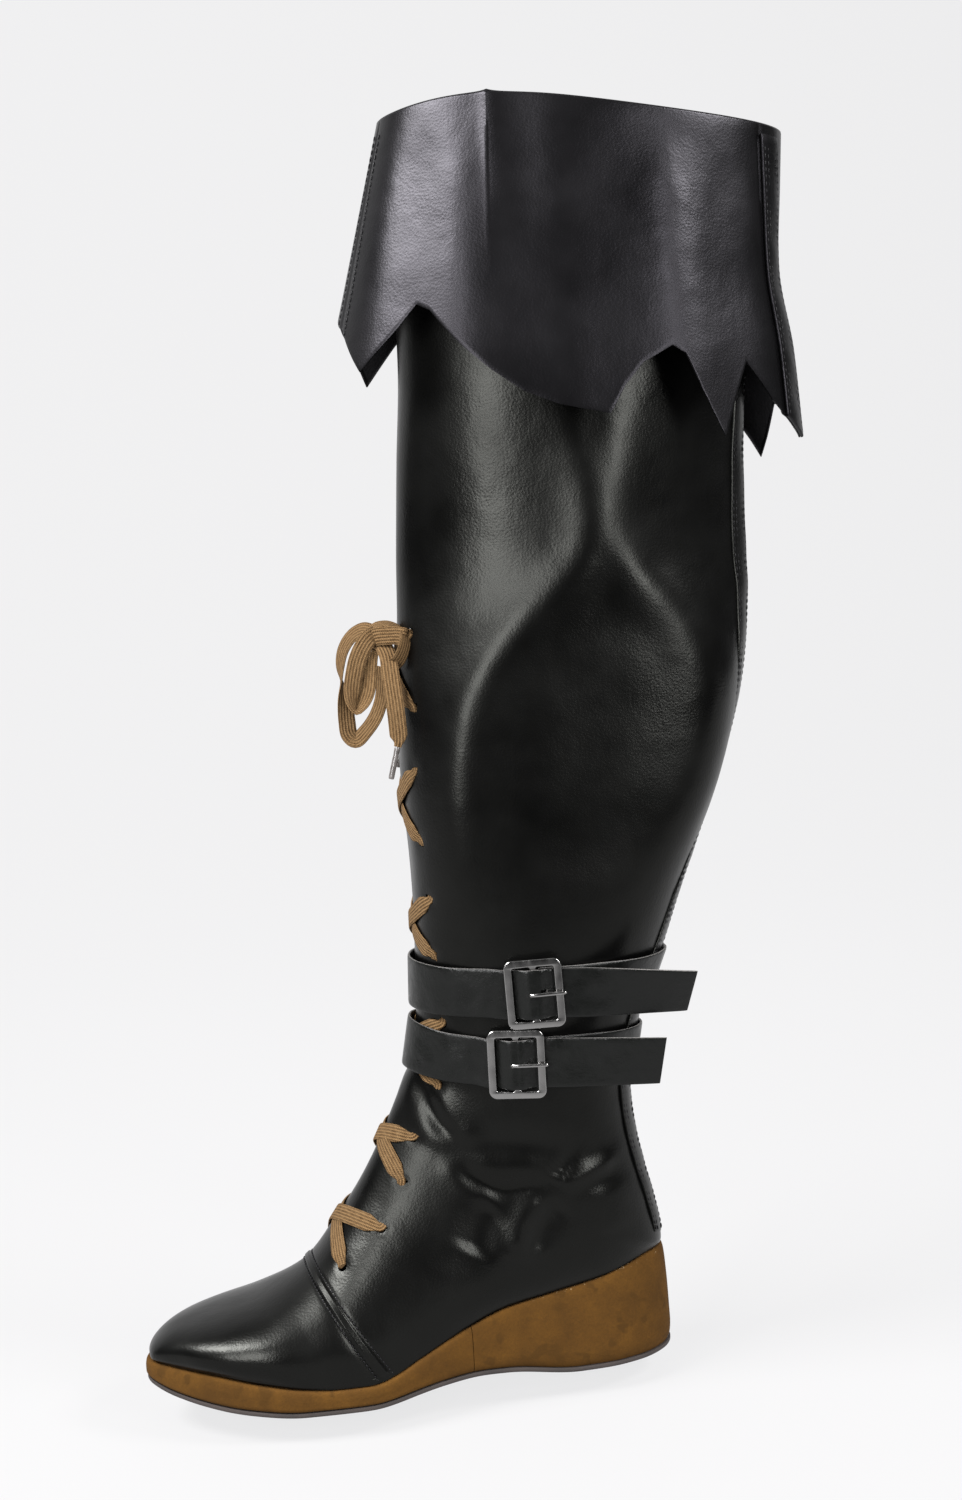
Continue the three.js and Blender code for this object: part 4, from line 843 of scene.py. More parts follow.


# the shine colours tint the highlights: faintly green on the shaft, partly the leather's own cast, and violet
# on the cuff, a painted cast of the light that falls there
leather = black_leather("soft synthetic leather", "#f4f5ee", 0.5, 0.255)
cuff_leather = black_leather("soft synthetic leather of the cuff", "#f4effc", 0.6, 0.31)
strap_skin = strap_leather()
suede = suede_cover()
rubber = sole_rubber()
lining = insole_cloth()
cotton = flat_lace()
nickel = polished_nickel()
film = clear_tip()
thread = bonded_thread()
edge_backing_and_highlight = cut_edge_and_highlight()


def dress(made, material, slot, *nodes):
    """Gives a piece its material and hides the nodes that it replaces. The slot is not used."""
    made.data.materials.clear()
    made.data.materials.append(material)
    if nodes:
        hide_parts(*nodes)
    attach(made, "root")
    return made


# Camera: at the photograph's height and a little round to the toe.

YAW, PITCH, ROLL = math.radians(10), math.radians(6.96), math.radians(3)
LOOK_FROM, LOOK_PAST, EYE_HEIGHT = 1050, 45.4, 440
SENSOR, PHOTO_HEIGHT, FOCAL_PIXELS = 36, 1500, 2141
ahead = Vector((-math.sin(YAW) * math.cos(PITCH), -math.cos(YAW) * math.cos(PITCH), -math.sin(PITCH)))
level = ahead.cross(Vector((0, 0, 1))).normalized()
upright = level.cross(ahead)
right = math.cos(ROLL) * level - math.sin(ROLL) * upright
top = math.sin(ROLL) * level + math.cos(ROLL) * upright
camera = shown("camera", bpy.data.cameras.new("camera"))
camera.data.sensor_width = SENSOR
camera.data.lens = FOCAL_PIXELS * SENSOR / PHOTO_HEIGHT
camera.data.clip_end = 20
stand = Vector((LOOK_PAST + LOOK_FROM * math.sin(YAW), LOOK_FROM * math.cos(YAW), EYE_HEIGHT)) * MM
turn = Matrix((right, top, -ahead)).transposed()
camera.matrix_world = Matrix.Translation(stand) @ turn.to_4x4()
bpy.context.scene.camera = camera


# Cords: the loops and ends of the bow. Routes in the shaft's own directions: forward of its pivot
# line, outwards and up, and the lean of the flat ribbon about its run: at 0 degrees it lies edge on
# to the view from the outer side, at 90 it faces it.

BOW = {
    "lace_loop_inner": [
        (94, -1.5, 371, -60), (95.4, -3.1, 372.6, -60), (99.7, -8, 373.9, -50), (105.2, -12, 370.9, -42),
        (109.9, -15, 364, -36), (111.9, -17, 355, -22), (111.4, -18, 346.9, 10), (110.4, -18, 337.3, 60),
        (110, -18, 327.8, 84), (109.2, -17.5, 321.4, 84), (106.2, -16.5, 318.6, 62), (100.9, -15, 323, 50),
        (95.6, -13.5, 330.3, 48), (92.6, -12, 338.2, 45), (91.5, -10, 346, 45), (91.5, -8, 355, 45)],
    "lace_loop_outer": [
        (94.5, 12, 372.6, 88), (97.4, 14, 371.4, 88), (100.4, 16, 368.2, 88), (103.8, 17.5, 362.1, 86),
        (106.2, 18.5, 354.1, 82), (107.7, 19, 346, 70), (107.8, 19.5, 340.7, 40), (106.1, 19.5, 337, 22),
        (103, 18.8, 339.9, 40), (100.6, 18, 345.4, 62), (99.4, 16.5, 351.9, 66), (98.6, 15, 358.5, 66),
        (97.6, 12.5, 364.5, 66)],
    "lace_end_outer": [
        (92.6, 9, 368.6, 72), (91, 13.4, 366.6, 72), (89.4, 18, 362.2, 80), (88.9, 22, 354.7, 86),
        (88.3, 25, 346.1, 90), (87.6, 27, 337.6, 90), (87.1, 28, 329, 90), (87, 28.5, 322.2, 90),
        (87.7, 28.6, 319.2, 90)],
    "lace_end_inner": [
        (91.2, -1.5, 370, 44), (89.7, -5.4, 369.5, 44), (88.5, -12.5, 363, 44), (85, -19, 354, 44),
        (83, -23, 344, 44), (82, -25, 334, 44), (82, -26, 325, 44), (83, -26, 318, 44)],
}
KNOT_AT = (92.4, 5, 369)


def lace_tip(name, end, run):
    """Film rolled round the lace's end: a slim tube with a lip at each end and a crimp."""
    places = np.array([0, 0.3, 0.7, 2.5, 4, 5.5, 14.5, 15.1, 15.5]) + GAP
    sizes = np.array([0.86, 0.97, 1, 1, 0.9, 1, 1, 0.94, 0.8]) * LACE_TIP_DIAMETER / 2
    side = unit(np.cross(run, [0, 0, 1.0]) + 1e-6)
    other = np.cross(run, side)
    sides = 20
    turn = np.linspace(0, 2 * math.pi, sides, endpoint=False)
    loop = np.cos(turn)[:, None] * side + np.sin(turn)[:, None] * other
    points = end + run * places[:, None, None] + loop * sizes[:, None, None]
    ends = np.stack([points[0].mean(0), points[-1].mean(0)])
    body = quads(len(places), sides, ring=True)
    k = np.arange(sides)
    after = (k + 1) % sides
    count = len(places) * sides
    tip = np.full(sides, count)
    low = np.stack([k, after, tip, tip], -1)
    high = np.stack([count - sides + after, count - sides + k, tip + 1, tip + 1], -1)
    made = piece(name, np.concatenate([points.reshape(-1, 3), ends]), np.concatenate([body, low, high]), 50)
    return dress(face_out(made), film, "lace_tip", name)


def leaning(station, outwards):
    """A lace's run and the way across it, from stations of a route with their angles of lean."""
    middle, lean = station[:, :3], np.radians(station[:, 3:])
    run = run_of(middle)
    flat = across_run(np.broadcast_to(outwards, middle.shape), run)
    return run, flat * np.cos(lean) + np.cross(run, flat) * np.sin(lean)


def bow_cord(name):
    """One loop or end of the bow as a flat ribbon that leans by its route's angles."""
    route = np.array(BOW[name], float)
    route[:, :3] = turned(*route[:, :3].T)
    station = curve_through(route, max(60, int(length_of(route[:, :3]) * 1.3)))
    middle = station[:, :3]
    run, across = leaning(station, turned(0, 1, 0) - turned(0, 0, 0))
    to_tip = walked_along(middle[::-1])[::-1]
    is_end = "end" in name
    narrow = lerp(0.42, 1, smoothstep(to_tip, 0.5, 6)) if is_end else np.ones(len(middle))
    made = ribbon(name, middle, across, LACE_WIDTH * narrow, LACE_THICKNESS * lerp(1.5, 1, narrow))
    dress(made, cotton, "lace", name)
    tips = [lace_tip(name.replace("lace_end", "aglet"), middle[-1], run[-1])] if is_end else []


def bow_knot():
    """The knot: a bundle of lace, with a band that wraps it to the outer side and two folded strands."""
    centre = turned(*KNOT_AT)
    across = unit(turned(0, 1, 0) - turned(0, 0, 0))
    forward = unit(turned(1, 0, 0) - turned(0, 0, 0))
    rings, count = 18, 36
    climb = np.linspace(-math.pi / 2, math.pi / 2, rings)[:, None]
    turn = np.linspace(0, 2 * math.pi, count, endpoint=False)[None, :]
    fold = 1 + 0.05 * np.cos(3 * turn + 2 * climb)
    level = np.cos(climb) ** 0.8
    parts = [(forward, 6.2 * level * np.cos(turn) * fold), (across, 7.4 * level * np.sin(turn) * fold),
             (np.array([0, 0, 1.0]), 6.3 * np.sin(climb) * np.ones_like(turn))]
    points = centre + sum(np.asarray(size)[..., None] * way for way, size in parts)
    uv = np.stack(np.broadcast_arrays(np.sin(climb) * 6, turn * 7), -1)
    core = piece("lace_knot", points.reshape(-1, 3), quads(rings, count, ring=True), 60, uv.reshape(-1, 2))
    dress(face_out(core), cotton, "lace", "lace_knot")
    for name, width, rows in KNOT_STRANDS:
        station = curve_through(np.array(rows, float), 70)
        station[:, :3] = turned(*station[:, :3].T)
        made = ribbon(name, station[:, :3], leaning(station, across)[1], width, LACE_THICKNESS)
        dress(made, cotton, "lace")


# Strands of the knot, each with its width, then its route as above.
KNOT_STRANDS = [
    ("knot_band", 8.8, [
        (99, 7, 368.5, 78), (97.2, 11.5, 370.4, 84), (93.6, 14.2, 371.6, 88), (89, 16, 371.8, 90),
        (84.6, 17.4, 371.8, 90), (81.4, 19, 371.2, 84), (80.2, 17.2, 370.6, 70)]),
    ("knot_turn", 8, [
        (80.4, 17, 372, 40), (80.6, 19.4, 369, 48), (82.2, 19.8, 364, 52), (84.8, 18.6, 359.6, 58),
        (88, 15, 357.4, 60)]),
    ("knot_top", 7.2, [
        (97.2, 4, 372, 30), (94, 5.5, 376, 24), (89, 7, 377, 20), (84.5, 9.5, 375.4, 24),
        (82.4, 13, 372.6, 30)]),
]


for name in BOW:
    bow_cord(name)
bow_knot()


# Sole.

def sole_piece(name, angles, layers, crisp=35):
    """A piece of the sole from loops of the outline, each with its inset and its height."""
    loops = []
    for inset, height in layers:
        sides = []
        for side in SIDES:
            x, w = outline_point(side, angles, inset(along_of(angles)))
            run = np.stack([x, SIDES[side] * w, np.broadcast_to(height(along_of(angles)), x.shape)], -1)
            sides.append(run if side == "lateral" else run[::-1])
        loops.append(np.concatenate(sides))
    count, size = len(angles), 2 * len(angles)
    last = (len(loops) - 1) * size
    i = np.arange(count - 1)
    cap = np.stack([i, i + 1, size - 2 - i, size - 1 - i], -1)
    faces = np.concatenate([quads(len(loops), size, ring=True), cap[:, ::-1], cap + last])
    return face_out(piece(name, np.concatenate(loops), faces, crisp))


joint_angle = float(angle_of(JOINT_ALONG))
joint_after = float(angle_of(JOINT_ALONG + GAP / SOLE_LENGTH))
heel_angles = np.linspace(0, joint_angle, 70)
forefoot_angles = np.linspace(joint_after, math.pi, 90)
sole_angles = np.concatenate([heel_angles, forefoot_angles])
block_side = monotone([0, 0.06, 0.18, 0.5, 0.8, 0.95, 1], [0.8, 0.25, 0, 0, 0.15, 0.4, 0.8])


def block(name, angles):
    """A covered block: the cover is pulled tight over its edges and dips a little between them."""
    def layer(share):
        def inset(along):
            return 2.2 * block_side(share) + rake(along, share)

        def height(along):
            return lerp(sole_under(along) + OUTSOLE_THICKNESS + GAP, sole_top(along), share)
        return inset, height
    made = sole_piece(name, angles, [layer(s) for s in np.concatenate(
        [[0, 0.02, 0.05, 0.1], np.linspace(0.16, 0.84, 14), [0.9, 0.94, 0.97, 0.99, 1]])])
    at = np.array([v.co for v in made.data.vertices]) / MM
    along = np.clip((at[:, 0] + HEEL_SEAT_BACK) / SOLE_LENGTH, 0, 1)
    from_edge = made.data.attributes.new("from_edge", "FLOAT", "POINT")
    from_edge.data.foreach_set("value", (sole_top(along) - at[:, 2]).astype(np.float32))
    return dress(made, suede, "wedge_cover", name)


def outsole():
    edge = OUTSOLE_THICKNESS / 3
    rows = [(0.9, 0), (0.35, 0.12), (0.08, 0.3), (0, 0.45), (0, 0.9), (0.1, 1)]

    def layer(inset, share):
        return (lambda along: np.full(np.shape(along), OUTSOLE_INSET + edge * inset),
                lambda along: sole_under(along) + OUTSOLE_THICKNESS * share)
    made = sole_piece("outsole", sole_angles, [layer(*row) for row in rows], 30)
    return dress(made, rubber, "outsole_rubber", "outsole")


def insole():
    def layer(extra, share):
        return (lambda along: FEATHER_INSET + rake(along) + WALL + 4 * GAP + extra,
                lambda along: sole_top(along) + GAP + INSOLE_THICKNESS * share)
    made = sole_piece("insole", sole_angles, [layer(0, 0), layer(0, 0.7), layer(0.4, 0.9), layer(1.5, 1)])
    return dress(made, lining, "insole_board", "insole")


block("heel_wedge", heel_angles)
block("forefoot_midsole", forefoot_angles)
outsole()
insole()


# Lace holes and the lace. Each crossing: heights of its upper and lower holes, and how far round
# the front they lie.

CROSSINGS = table("upper lower spread_upper spread_lower", [
    (83, 66, 30, 27), (124, 104, 21, 25), (181, 150, 27, 26), (243, 215, 26, 24),
    (306, 272, 25, 24), (373, 337, 18.6, 24)])


def lace_hole(height, spread, side):
    """Section and place round it of a hole at a height and a distance round from the front."""
    low, high = VAMP_ROW - 2, TOP_ROW
    for _ in range(18):
        middle = (low + high) / 2
        if skin_point(middle, around(middle, 0.5, side * spread))[2] < height:
            low = middle
        else:
            high = middle
    return np.array([middle, around(middle, 0.5, side * spread)])


holes = []
for k in range(6):
    row = {name: column[k] for name, column in CROSSINGS.items()}
    holes.append({(end, side): lace_hole(row[end], row[f"spread_{end}"], sign)
                  for end in ("upper", "lower") for side, sign in (("outer", 1), ("inner", -1))})


# Upper. Creases of the worn ankle and instep, on the outer side: height and half width in
# millimetres, then the line that each follows, forward and up.

OUTER_CREASES = [
    (0.9, 8, [(94, 153), (91, 143), (86, 132), (78, 122), (74, 118)]),
    (-1.7, 5.9, [(87, 154), (84, 142), (80, 132), (72, 123)]),
    (1.1, 6.5, [(82, 154), (80, 144), (76, 135), (70, 127), (57, 124)]),
    (-1.2, 9.1, [(68, 121), (51, 120), (31, 118), (8, 114)]),
    (1.2, 10.4, [(68, 112), (49, 109), (31, 108)]),
    (-1.8, 5.9, [(74, 112), (66, 103), (54, 98), (39, 98), (28, 99)]),
    (1.2, 6.5, [(78, 117), (73, 106), (64, 98), (54, 93)]),
    (-2.1, 10.4, [(24, 108), (18, 104)]),
    (1.7, 4.5, [(28, 99), (17, 100), (5, 104), (-8, 108)]),
    (2.7, 7.8, [(28, 94), (36, 88), (42, 80), (45, 72), (53, 68)]),
    (-2.3, 10.4, [(54, 90), (62, 84), (66, 74), (70, 67)]),
    (-1.7, 7.8, [(24, 91), (32, 82), (37, 72), (35, 64)]),
    (0.9, 3.2, [(39, 63), (47, 65), (54, 68)]),
    (1.2, 13, [(1, 97), (-1, 81), (-1, 68)]),
]
SHAFT_FOLDS = [
    (3.6, 14, [(8, 488), (5, 471), (-1, 451), (-4, 432), (-4, 416), (0, 403), (10, 392), (27, 377), (49, 352),
               (60, 325), (66, 269), (69, 221)]),
    (3.8, 18, [(-20, 490), (-17, 462), (-12, 438), (-12, 419), (-25, 397), (-45, 376), (-60, 349), (-60, 318),
               (-51, 286), (-35, 257), (-24, 228)]),
    (-1.8, 30, [(-7, 365), (-6, 327), (2, 279), (13, 241)]),
]
INNER_CREASES = [
    (1.3, 5, [(90, 150), (84, 136), (76, 124)]),
    (-1.5, 5, [(82, 150), (76, 134), (62, 124), (44, 120)]),
    (1.2, 6, [(70, 116), (50, 110), (28, 110)]),
    (-1.6, 5, [(76, 112), (62, 101), (44, 97), (26, 99)]),
    (1.8, 5, [(26, 96), (36, 86), (44, 76), (54, 68)]),
    (-1.6, 7, [(56, 90), (64, 78), (72, 66)]),
    (1.0, 10, [(2, 98), (0, 82), (2, 68)]),
]


def crease_relief(points, creases):
    """How far the leather stands out or sinks at points on one side, seen from that side. Ridges that
    meet run into one another."""
    raised, sunk = np.zeros(len(points)), np.zeros(len(points))
    at = points[:, [0, 2]]
    for height, half, line in creases:
        line = curve_through(np.array(line, float), 24)
        start, step = line[:-1], np.diff(line, axis=0)
        share = ((at[:, None] - start) * step).sum(2) / (step * step).sum(1)
        share = np.clip(share, 0, 1)
        away = np.linalg.norm(at[:, None] - start - step * share[..., None], axis=2)
        nearest = away.argmin(1)
        row = np.arange(len(at))
        along = (nearest + share[row, nearest]) / len(step)
        taper = smoothstep(np.minimum(along, 1 - along), 0, 0.25)
        shape = height * (0.2 + 0.8 * taper) * np.exp(-(away[row, nearest] / half) ** 2 * 1.3)
        if height > 0:
            raised += shape ** 3
        else:
            sunk += shape
    return np.cbrt(raised) + sunk


def rows_by_step(start, end, step_at):
    """Sections at steps along the skin that depend on their height and number."""
    fine = np.arange(start, end + 1e-9, 0.01)
    lines = skin_point(fine[:, None], np.array([0.02, 0.25, 0.4, 0.5])[None])
    moved = np.linalg.norm(np.diff(lines, axis=0), axis=2).max(1)
    steps = np.concatenate([[0], np.cumsum(moved / step_at(fine[:-1], lines[:-1, 1, 2]))])
    return np.interp(np.linspace(0, steps[-1], int(steps[-1]) + 1), steps, fine)


def seam_relief(v):
    """Piped seam between vamp and quarters: a bead between two stitched grooves."""
    bead = smoothstep(v, VAMP_ROW - 0.02, VAMP_ROW + 0.015) - smoothstep(v, VAMP_ROW + 0.105, VAMP_ROW + 0.14)
    groove = (np.exp(-((v - VAMP_ROW + 0.05) / 0.03) ** 2) + np.exp(-((v - VAMP_ROW - 0.17) / 0.03) ** 2))
    vamp = -0.3 * SEAM_STEP * (1 - smoothstep(v, VAMP_ROW - 0.06, VAMP_ROW))
    return SEAM_STEP * bead - 0.35 * groove + vamp


ANKLE_TOP = 190
UPPER_COLUMNS = 128


def upper_relief(v, t, base):
    """Seam, creases and folds together, at every point of the upper's skin."""
    outer_side = t <= 0.5
    relief = seam_relief(v) * np.clip((v - 0.2) * 2, 0, 1)
    sideways = np.abs(base[:, 1]) / 12
    for is_outer, creases in ((True, OUTER_CREASES), (False, INNER_CREASES)):
        near = (outer_side == is_outer) & (base[:, 2] < ANKLE_TOP)
        relief[near] += crease_relief(base[near], creases) * np.clip(sideways[near], 0.15, 1)
    high = base[:, 2] > ANKLE_TOP
    side = np.where(outer_side, 1, 0.7) * np.clip(sideways, 0, 1)
    relief[high] += crease_relief(base[high], SHAFT_FOLDS) * side[high]
    relief[(v < HEEL_ROW) & ((t < 0.03) | (t > 0.97))] *= 0.3
    return relief


def pierce(outer, inner, faces):
    """Draws both skins in to the rim of each lace hole. Says which faces stay."""
    middle = outer[faces].mean(1)
    keep = np.ones(len(faces), bool)
    radius = LACE_HOLE / 2
    for crossing in holes:
        for place in crossing.values():
            centre, out = skin_point(*place), skin_normal(*place)
            keep &= np.linalg.norm(middle - centre, axis=1) > radius + 0.1
            near = np.flatnonzero(np.linalg.norm(outer - centre, axis=1) < LACE_HOLE)
            aside = outer[near] - centre
            aside -= (aside @ out)[:, None] * out
            reach = np.linalg.norm(aside, axis=1, keepdims=True)
            wanted = np.where(reach < radius + 0.9, radius, reach)
            shift = aside / np.maximum(reach, 1e-6) * (wanted - reach)
            sink = -0.35 * np.exp(-((wanted - radius) / 1.2) ** 2)
            outer[near] += shift + out * sink
            inner[near] += shift
    return keep


def upper():
    def step_at(v, z):
        near_seam = np.exp(-((v - VAMP_ROW - 0.06) / 0.2) ** 2)
        plain = lerp(2, 4, smoothstep(z, 225, 300))
        return lerp(plain, 0.35, near_seam)
    rows = rows_by_step(0, TOP_ROW, step_at)
    width = UPPER_COLUMNS + 1
    grid = np.meshgrid(rows, np.linspace(0, 1, width), indexing="ij")
    v, t = (side.ravel() for side in grid)
    base, normal = skin_point(v, t), skin_normal(v, t)
    normal[v == 0] = (1, 0, 0)
    relief = upper_relief(v, t, base)
    outer = base + normal * relief[:, None]
    inner = base - normal * (WALL - relief * 0.7)[:, None]
    flat = ((v < HEEL_ROW) & ((t == 0) | (t == 1))) | (v == 0)
    outer[flat, 2] = inner[flat, 2] = base[flat, 2]
    inner[-width:, 2] = outer[-width:, 2]
    last = np.arange(len(rows)) * width + UPPER_COLUMNS
    join = np.arange(len(outer))
    closed = rows >= HEEL_ROW
    join[last[closed]] = last[closed] - UPPER_COLUMNS
    faces = join[quads(len(rows), width)]
    keep = pierce(outer, inner, faces)
    made = walled("upper", outer, inner, faces[keep], 50)
    return dress(made, leather, "shaft_leather", "upper")


upper()


# Lace through the holes. Inside runs join one crossing's holes to the next one's.

def lace_leg(start, end, outside, hump):
    """Stations of one run between two holes: a place, the way across and a narrowing."""
    points_apart = length_of(skin_point(*np.linspace(start, end, 20).T))
    count = max(24, int(points_apart * 1.4))
    share = np.linspace(0, 1, count)
    v, t = lerp(start[0], end[0], share), lerp(start[1], end[1], share)
    from_hole = np.minimum(share, 1 - share) * points_apart
    out_of_hole = smoothstep(from_hole, 0.3, 5.5)
    if outside:
        lift = lerp(-WALL / 2, 0.25 + LACE_THICKNESS / 2, out_of_hole)
        lift = lift + hump * np.sin(math.pi * np.clip((share - 0.22) / 0.56, 0, 1)) ** 2
    else:
        lift = lerp(-WALL / 2, -WALL - 0.6 - LACE_THICKNESS / 2, out_of_hole)
    base, normal = skin_point(v, t), skin_normal(v, t)
    across = unit(np.cross(run_of(base), normal))
    narrow = lerp(0.5, 1, smoothstep(from_hole, 0.6, 7))
    return base + normal * lift[:, None], across, narrow


def lace_run():
    """One lace: up from the middle of its inside run at the toe, both strands crossing over and in."""
    strands = []
    for side in ("outer", "inner"):
        middles, acrosses, narrows = [], [], []
        here = side
        for k, crossing in enumerate(holes):
            there = "inner" if here == "outer" else "outer"
            over = here == "inner"
            hump = LACE_THICKNESS + 0.1 if over else 0
            legs = [(crossing["lower", here], crossing["upper", there], True, hump)]
            if k + 1 < len(holes):
                legs.append((crossing["upper", there], holes[k + 1]["lower", there], False, 0))
            for leg in legs:
                middle, across, narrow = lace_leg(*leg)
                skip = 1 if middles else 0
                middles.append(middle[skip:])
                acrosses.append(across[skip:])
                narrows.append(narrow[skip:])
            here = there
        strands.append([np.concatenate(a) for a in (middles, acrosses, narrows)])
    first = holes[0]
    middle, across, narrow = lace_leg(first["lower", "outer"], first["lower", "inner"], False, 0)
    a, b = strands
    middle = np.concatenate([a[0][:0:-1], middle, b[0][1:]])
    across = np.concatenate([-a[1][:0:-1], across, b[1][1:]])
    narrow = np.concatenate([a[2][:0:-1], narrow, b[2][1:]])
    for _ in range(3):
        middle[1:-1] = (middle[:-2] + 2 * middle[1:-1] + middle[2:]) / 4
        across[1:-1] = (across[:-2] + 2 * across[1:-1] + across[2:]) / 4
    thickness = LACE_THICKNESS * lerp(1.7, 1, narrow * 2 - 1)
    made = ribbon("lace_run", middle, across, LACE_WIDTH * narrow, thickness)
    return dress(made, cotton, "lace", *[f"lace_cross_{k}" for k in range(1, 7)])


lace_run()


# Strip over the back seam, cuff and its tape.

def bevelled(outer, inner, share=0.45, step=0.5):
    """Eases the two long edges of a strip: its skins draw together next to them."""
    middle = (outer + inner) / 2
    for skin_of in (outer, inner):
        skin_of[:, [0, -1]] = lerp(middle[:, [0, -1]], skin_of[:, [0, -1]], share)
        skin_of[[0, -1]] = lerp(middle[[0, -1]], skin_of[[0, -1]], step)
    return outer, inner


def back_strip_top():
    """The section at which the strip ends, under the cuff."""
    return float(section_at_height(0, BOOT_HEIGHT - CUFF_DROP * 0.8))


def settled(v):
    """The strip starts thin and low at the heel and comes to its full height a little above it."""
    return smoothstep(v, HEEL_ROW + 0.35, HEEL_ROW + 0.9)


def back_strip():
    v = np.linspace(HEEL_ROW + 0.35, back_strip_top(), 270)
    shares = np.array([-0.5, -0.49, -0.46, -0.38, -0.28, -0.16, 0, 0.16, 0.28, 0.38, 0.46, 0.49, 0.5])
    t = np.array([[around(a, 0, BACK_STRIP_SHIFT + s * BACK_STRIP_WIDTH) for s in shares] for a in v])
    v_grid = np.broadcast_to(v[:, None], t.shape)
    crown = 0.2 * (1 - (2 * shares) ** 2)
    wave = 0.12 * np.sin(v * 9)[:, None]
    settle = settled(v_grid)
    lift = lerp(0.3, BACK_STRIP_LIFT, settle) + BACK_STRIP_THICKNESS * lerp(0.4, 1, settle)
    outer = skin(v_grid, t, lift + crown + wave)
    inner = skin(v_grid, t, np.full(t.shape, -0.2))
    outer, inner = bevelled(outer, inner)
    made = walled("back_strip", outer, inner, quads(*t.shape), 50)
    return dress(made, leather, "shaft_leather", "back_strip")


def hem_line(rows):
    """Turns round the cuff with their hem drops: every corner of the hem and places between."""
    turn, drop = np.array(rows, float).T
    parts = []
    for k in range(len(turn) - 1):
        count = max(3, int((turn[k + 1] - turn[k]) * 240))
        share = np.linspace(0, 1, count, endpoint=False)
        parts.append(np.stack([lerp(turn[k], turn[k + 1], share), lerp(drop[k], drop[k + 1], share)], -1))
    return np.concatenate(parts + [[[turn[-1], drop[-1]]]])


def cuff():
    outer_line = hem_line(HEM["lateral"])
    inner_line = hem_line([HEM["lateral"][0], *HEM["medial"], HEM["lateral"][-1]])[1:-1][::-1]
    turn, drop = np.concatenate([outer_line, inner_line]).T
    is_outer = np.arange(len(turn)) < len(outer_line)
    t = side_turn(is_outer, turn)
    wave = cuff_waves(turn, is_outer)
    fold = is_outer * np.exp(-np.abs(turn - CUFF_FOLD) / 0.013)

    def hollow(centre, width):
        return is_outer * np.exp(-((turn - centre) / width) ** 2)
    bend = 2 * fold - 1.1 * hollow(CUFF_FOLD + 0.05, 0.04)
    grooves = 0.6 * hollow(CUFF_SEAM, 0.004) + 0.9 * hollow(CUFF_TAPE_FROM - 0.004, 0.005)

    def skirt(off, fall):
        hang = smoothstep(fall, 0.02, 0.35)
        fading = 1 - smoothstep(fall, 0.1, 0.72)
        return cuff_point(is_outer, turn, fall, drop, off + wave * hang + bend * fading - grooves)
    falls = np.concatenate([[1, 0.992, 0.975, 0.95], np.linspace(0.92, 0.04, 34)])
    near, far = CUFF_STAND_OFF, CUFF_STAND_OFF + CUFF_WALL
    edge = [skirt(near + 0.45, 1.0), skirt(far - 0.25, 1.0)]
    skin_rows = edge + [skirt(far, f) for f in falls[1:]]
    rim, outwards = rim_of(t)
    lift = np.array([0, 0, 1.0])
    for angle in np.linspace(0, math.pi, 11):
        reach = -WALL / 2 + (WALL / 2 + far) * math.cos(angle)
        rise = (GAP + CUFF_WALL + 1.1 * fold[:, None]) * math.sin(angle) ** 0.7
        out_more = bend[:, None] * math.cos(angle / 2) ** 2
        skin_rows.append(rim + outwards * (reach + out_more) + lift * rise)
    lip_v = TOP_ROW - CUFF_LIP / (BOOT_HEIGHT * (SHAFT_ROWS["up"][-1] - SHAFT_ROWS["up"][-2]))
    for off, shares in ((far, (0.25, 0.5, 0.75, 0.97, 1)), (near, (1, 0.75, 0.5, 0.25))):
        skin_rows += [skin(lerp(TOP_ROW, lip_v, share), t, np.full(t.shape, -WALL - off)) for share in shares]
    for angle in np.linspace(math.pi, 0, 7):
        reach = -WALL / 2 + (WALL / 2 + near) * math.cos(angle)
        skin_rows.append(rim + outwards * reach + lift * (GAP + 0.1) * math.sin(angle))
    skin_rows += [skirt(near, f) for f in falls[:0:-1]]
    points = np.stack(skin_rows)
    rows, columns = points.shape[:2]
    faces = quads(rows, columns, ring=True)
    j = np.arange(columns)
    after = (j + 1) % columns
    last = (rows - 1) * columns
    close = np.stack([last + j, j, after, last + after], -1)
    made = piece("cuff", points.reshape(-1, 3), np.concatenate([faces, close]), 50)
    return dress(face_out(made), cuff_leather, "shaft_leather", "cuff")


def cuff_waves(turn, is_outer):
    """Slow waves of the hanging cuff, in millimetres, so that its lights run uneven."""
    outer = 0.9 * np.sin(turn * 23 + 0.7) + 0.6 * np.sin(turn * 41 + 2)
    inner = 0.9 * np.sin(turn * 21 + 2.2) + 0.6 * np.sin(turn * 37)
    ends = smoothstep(turn, 0, 0.06) * (1 - smoothstep(turn, 0.76, 0.8))
    return np.where(is_outer, outer, inner) * ends * 0.8


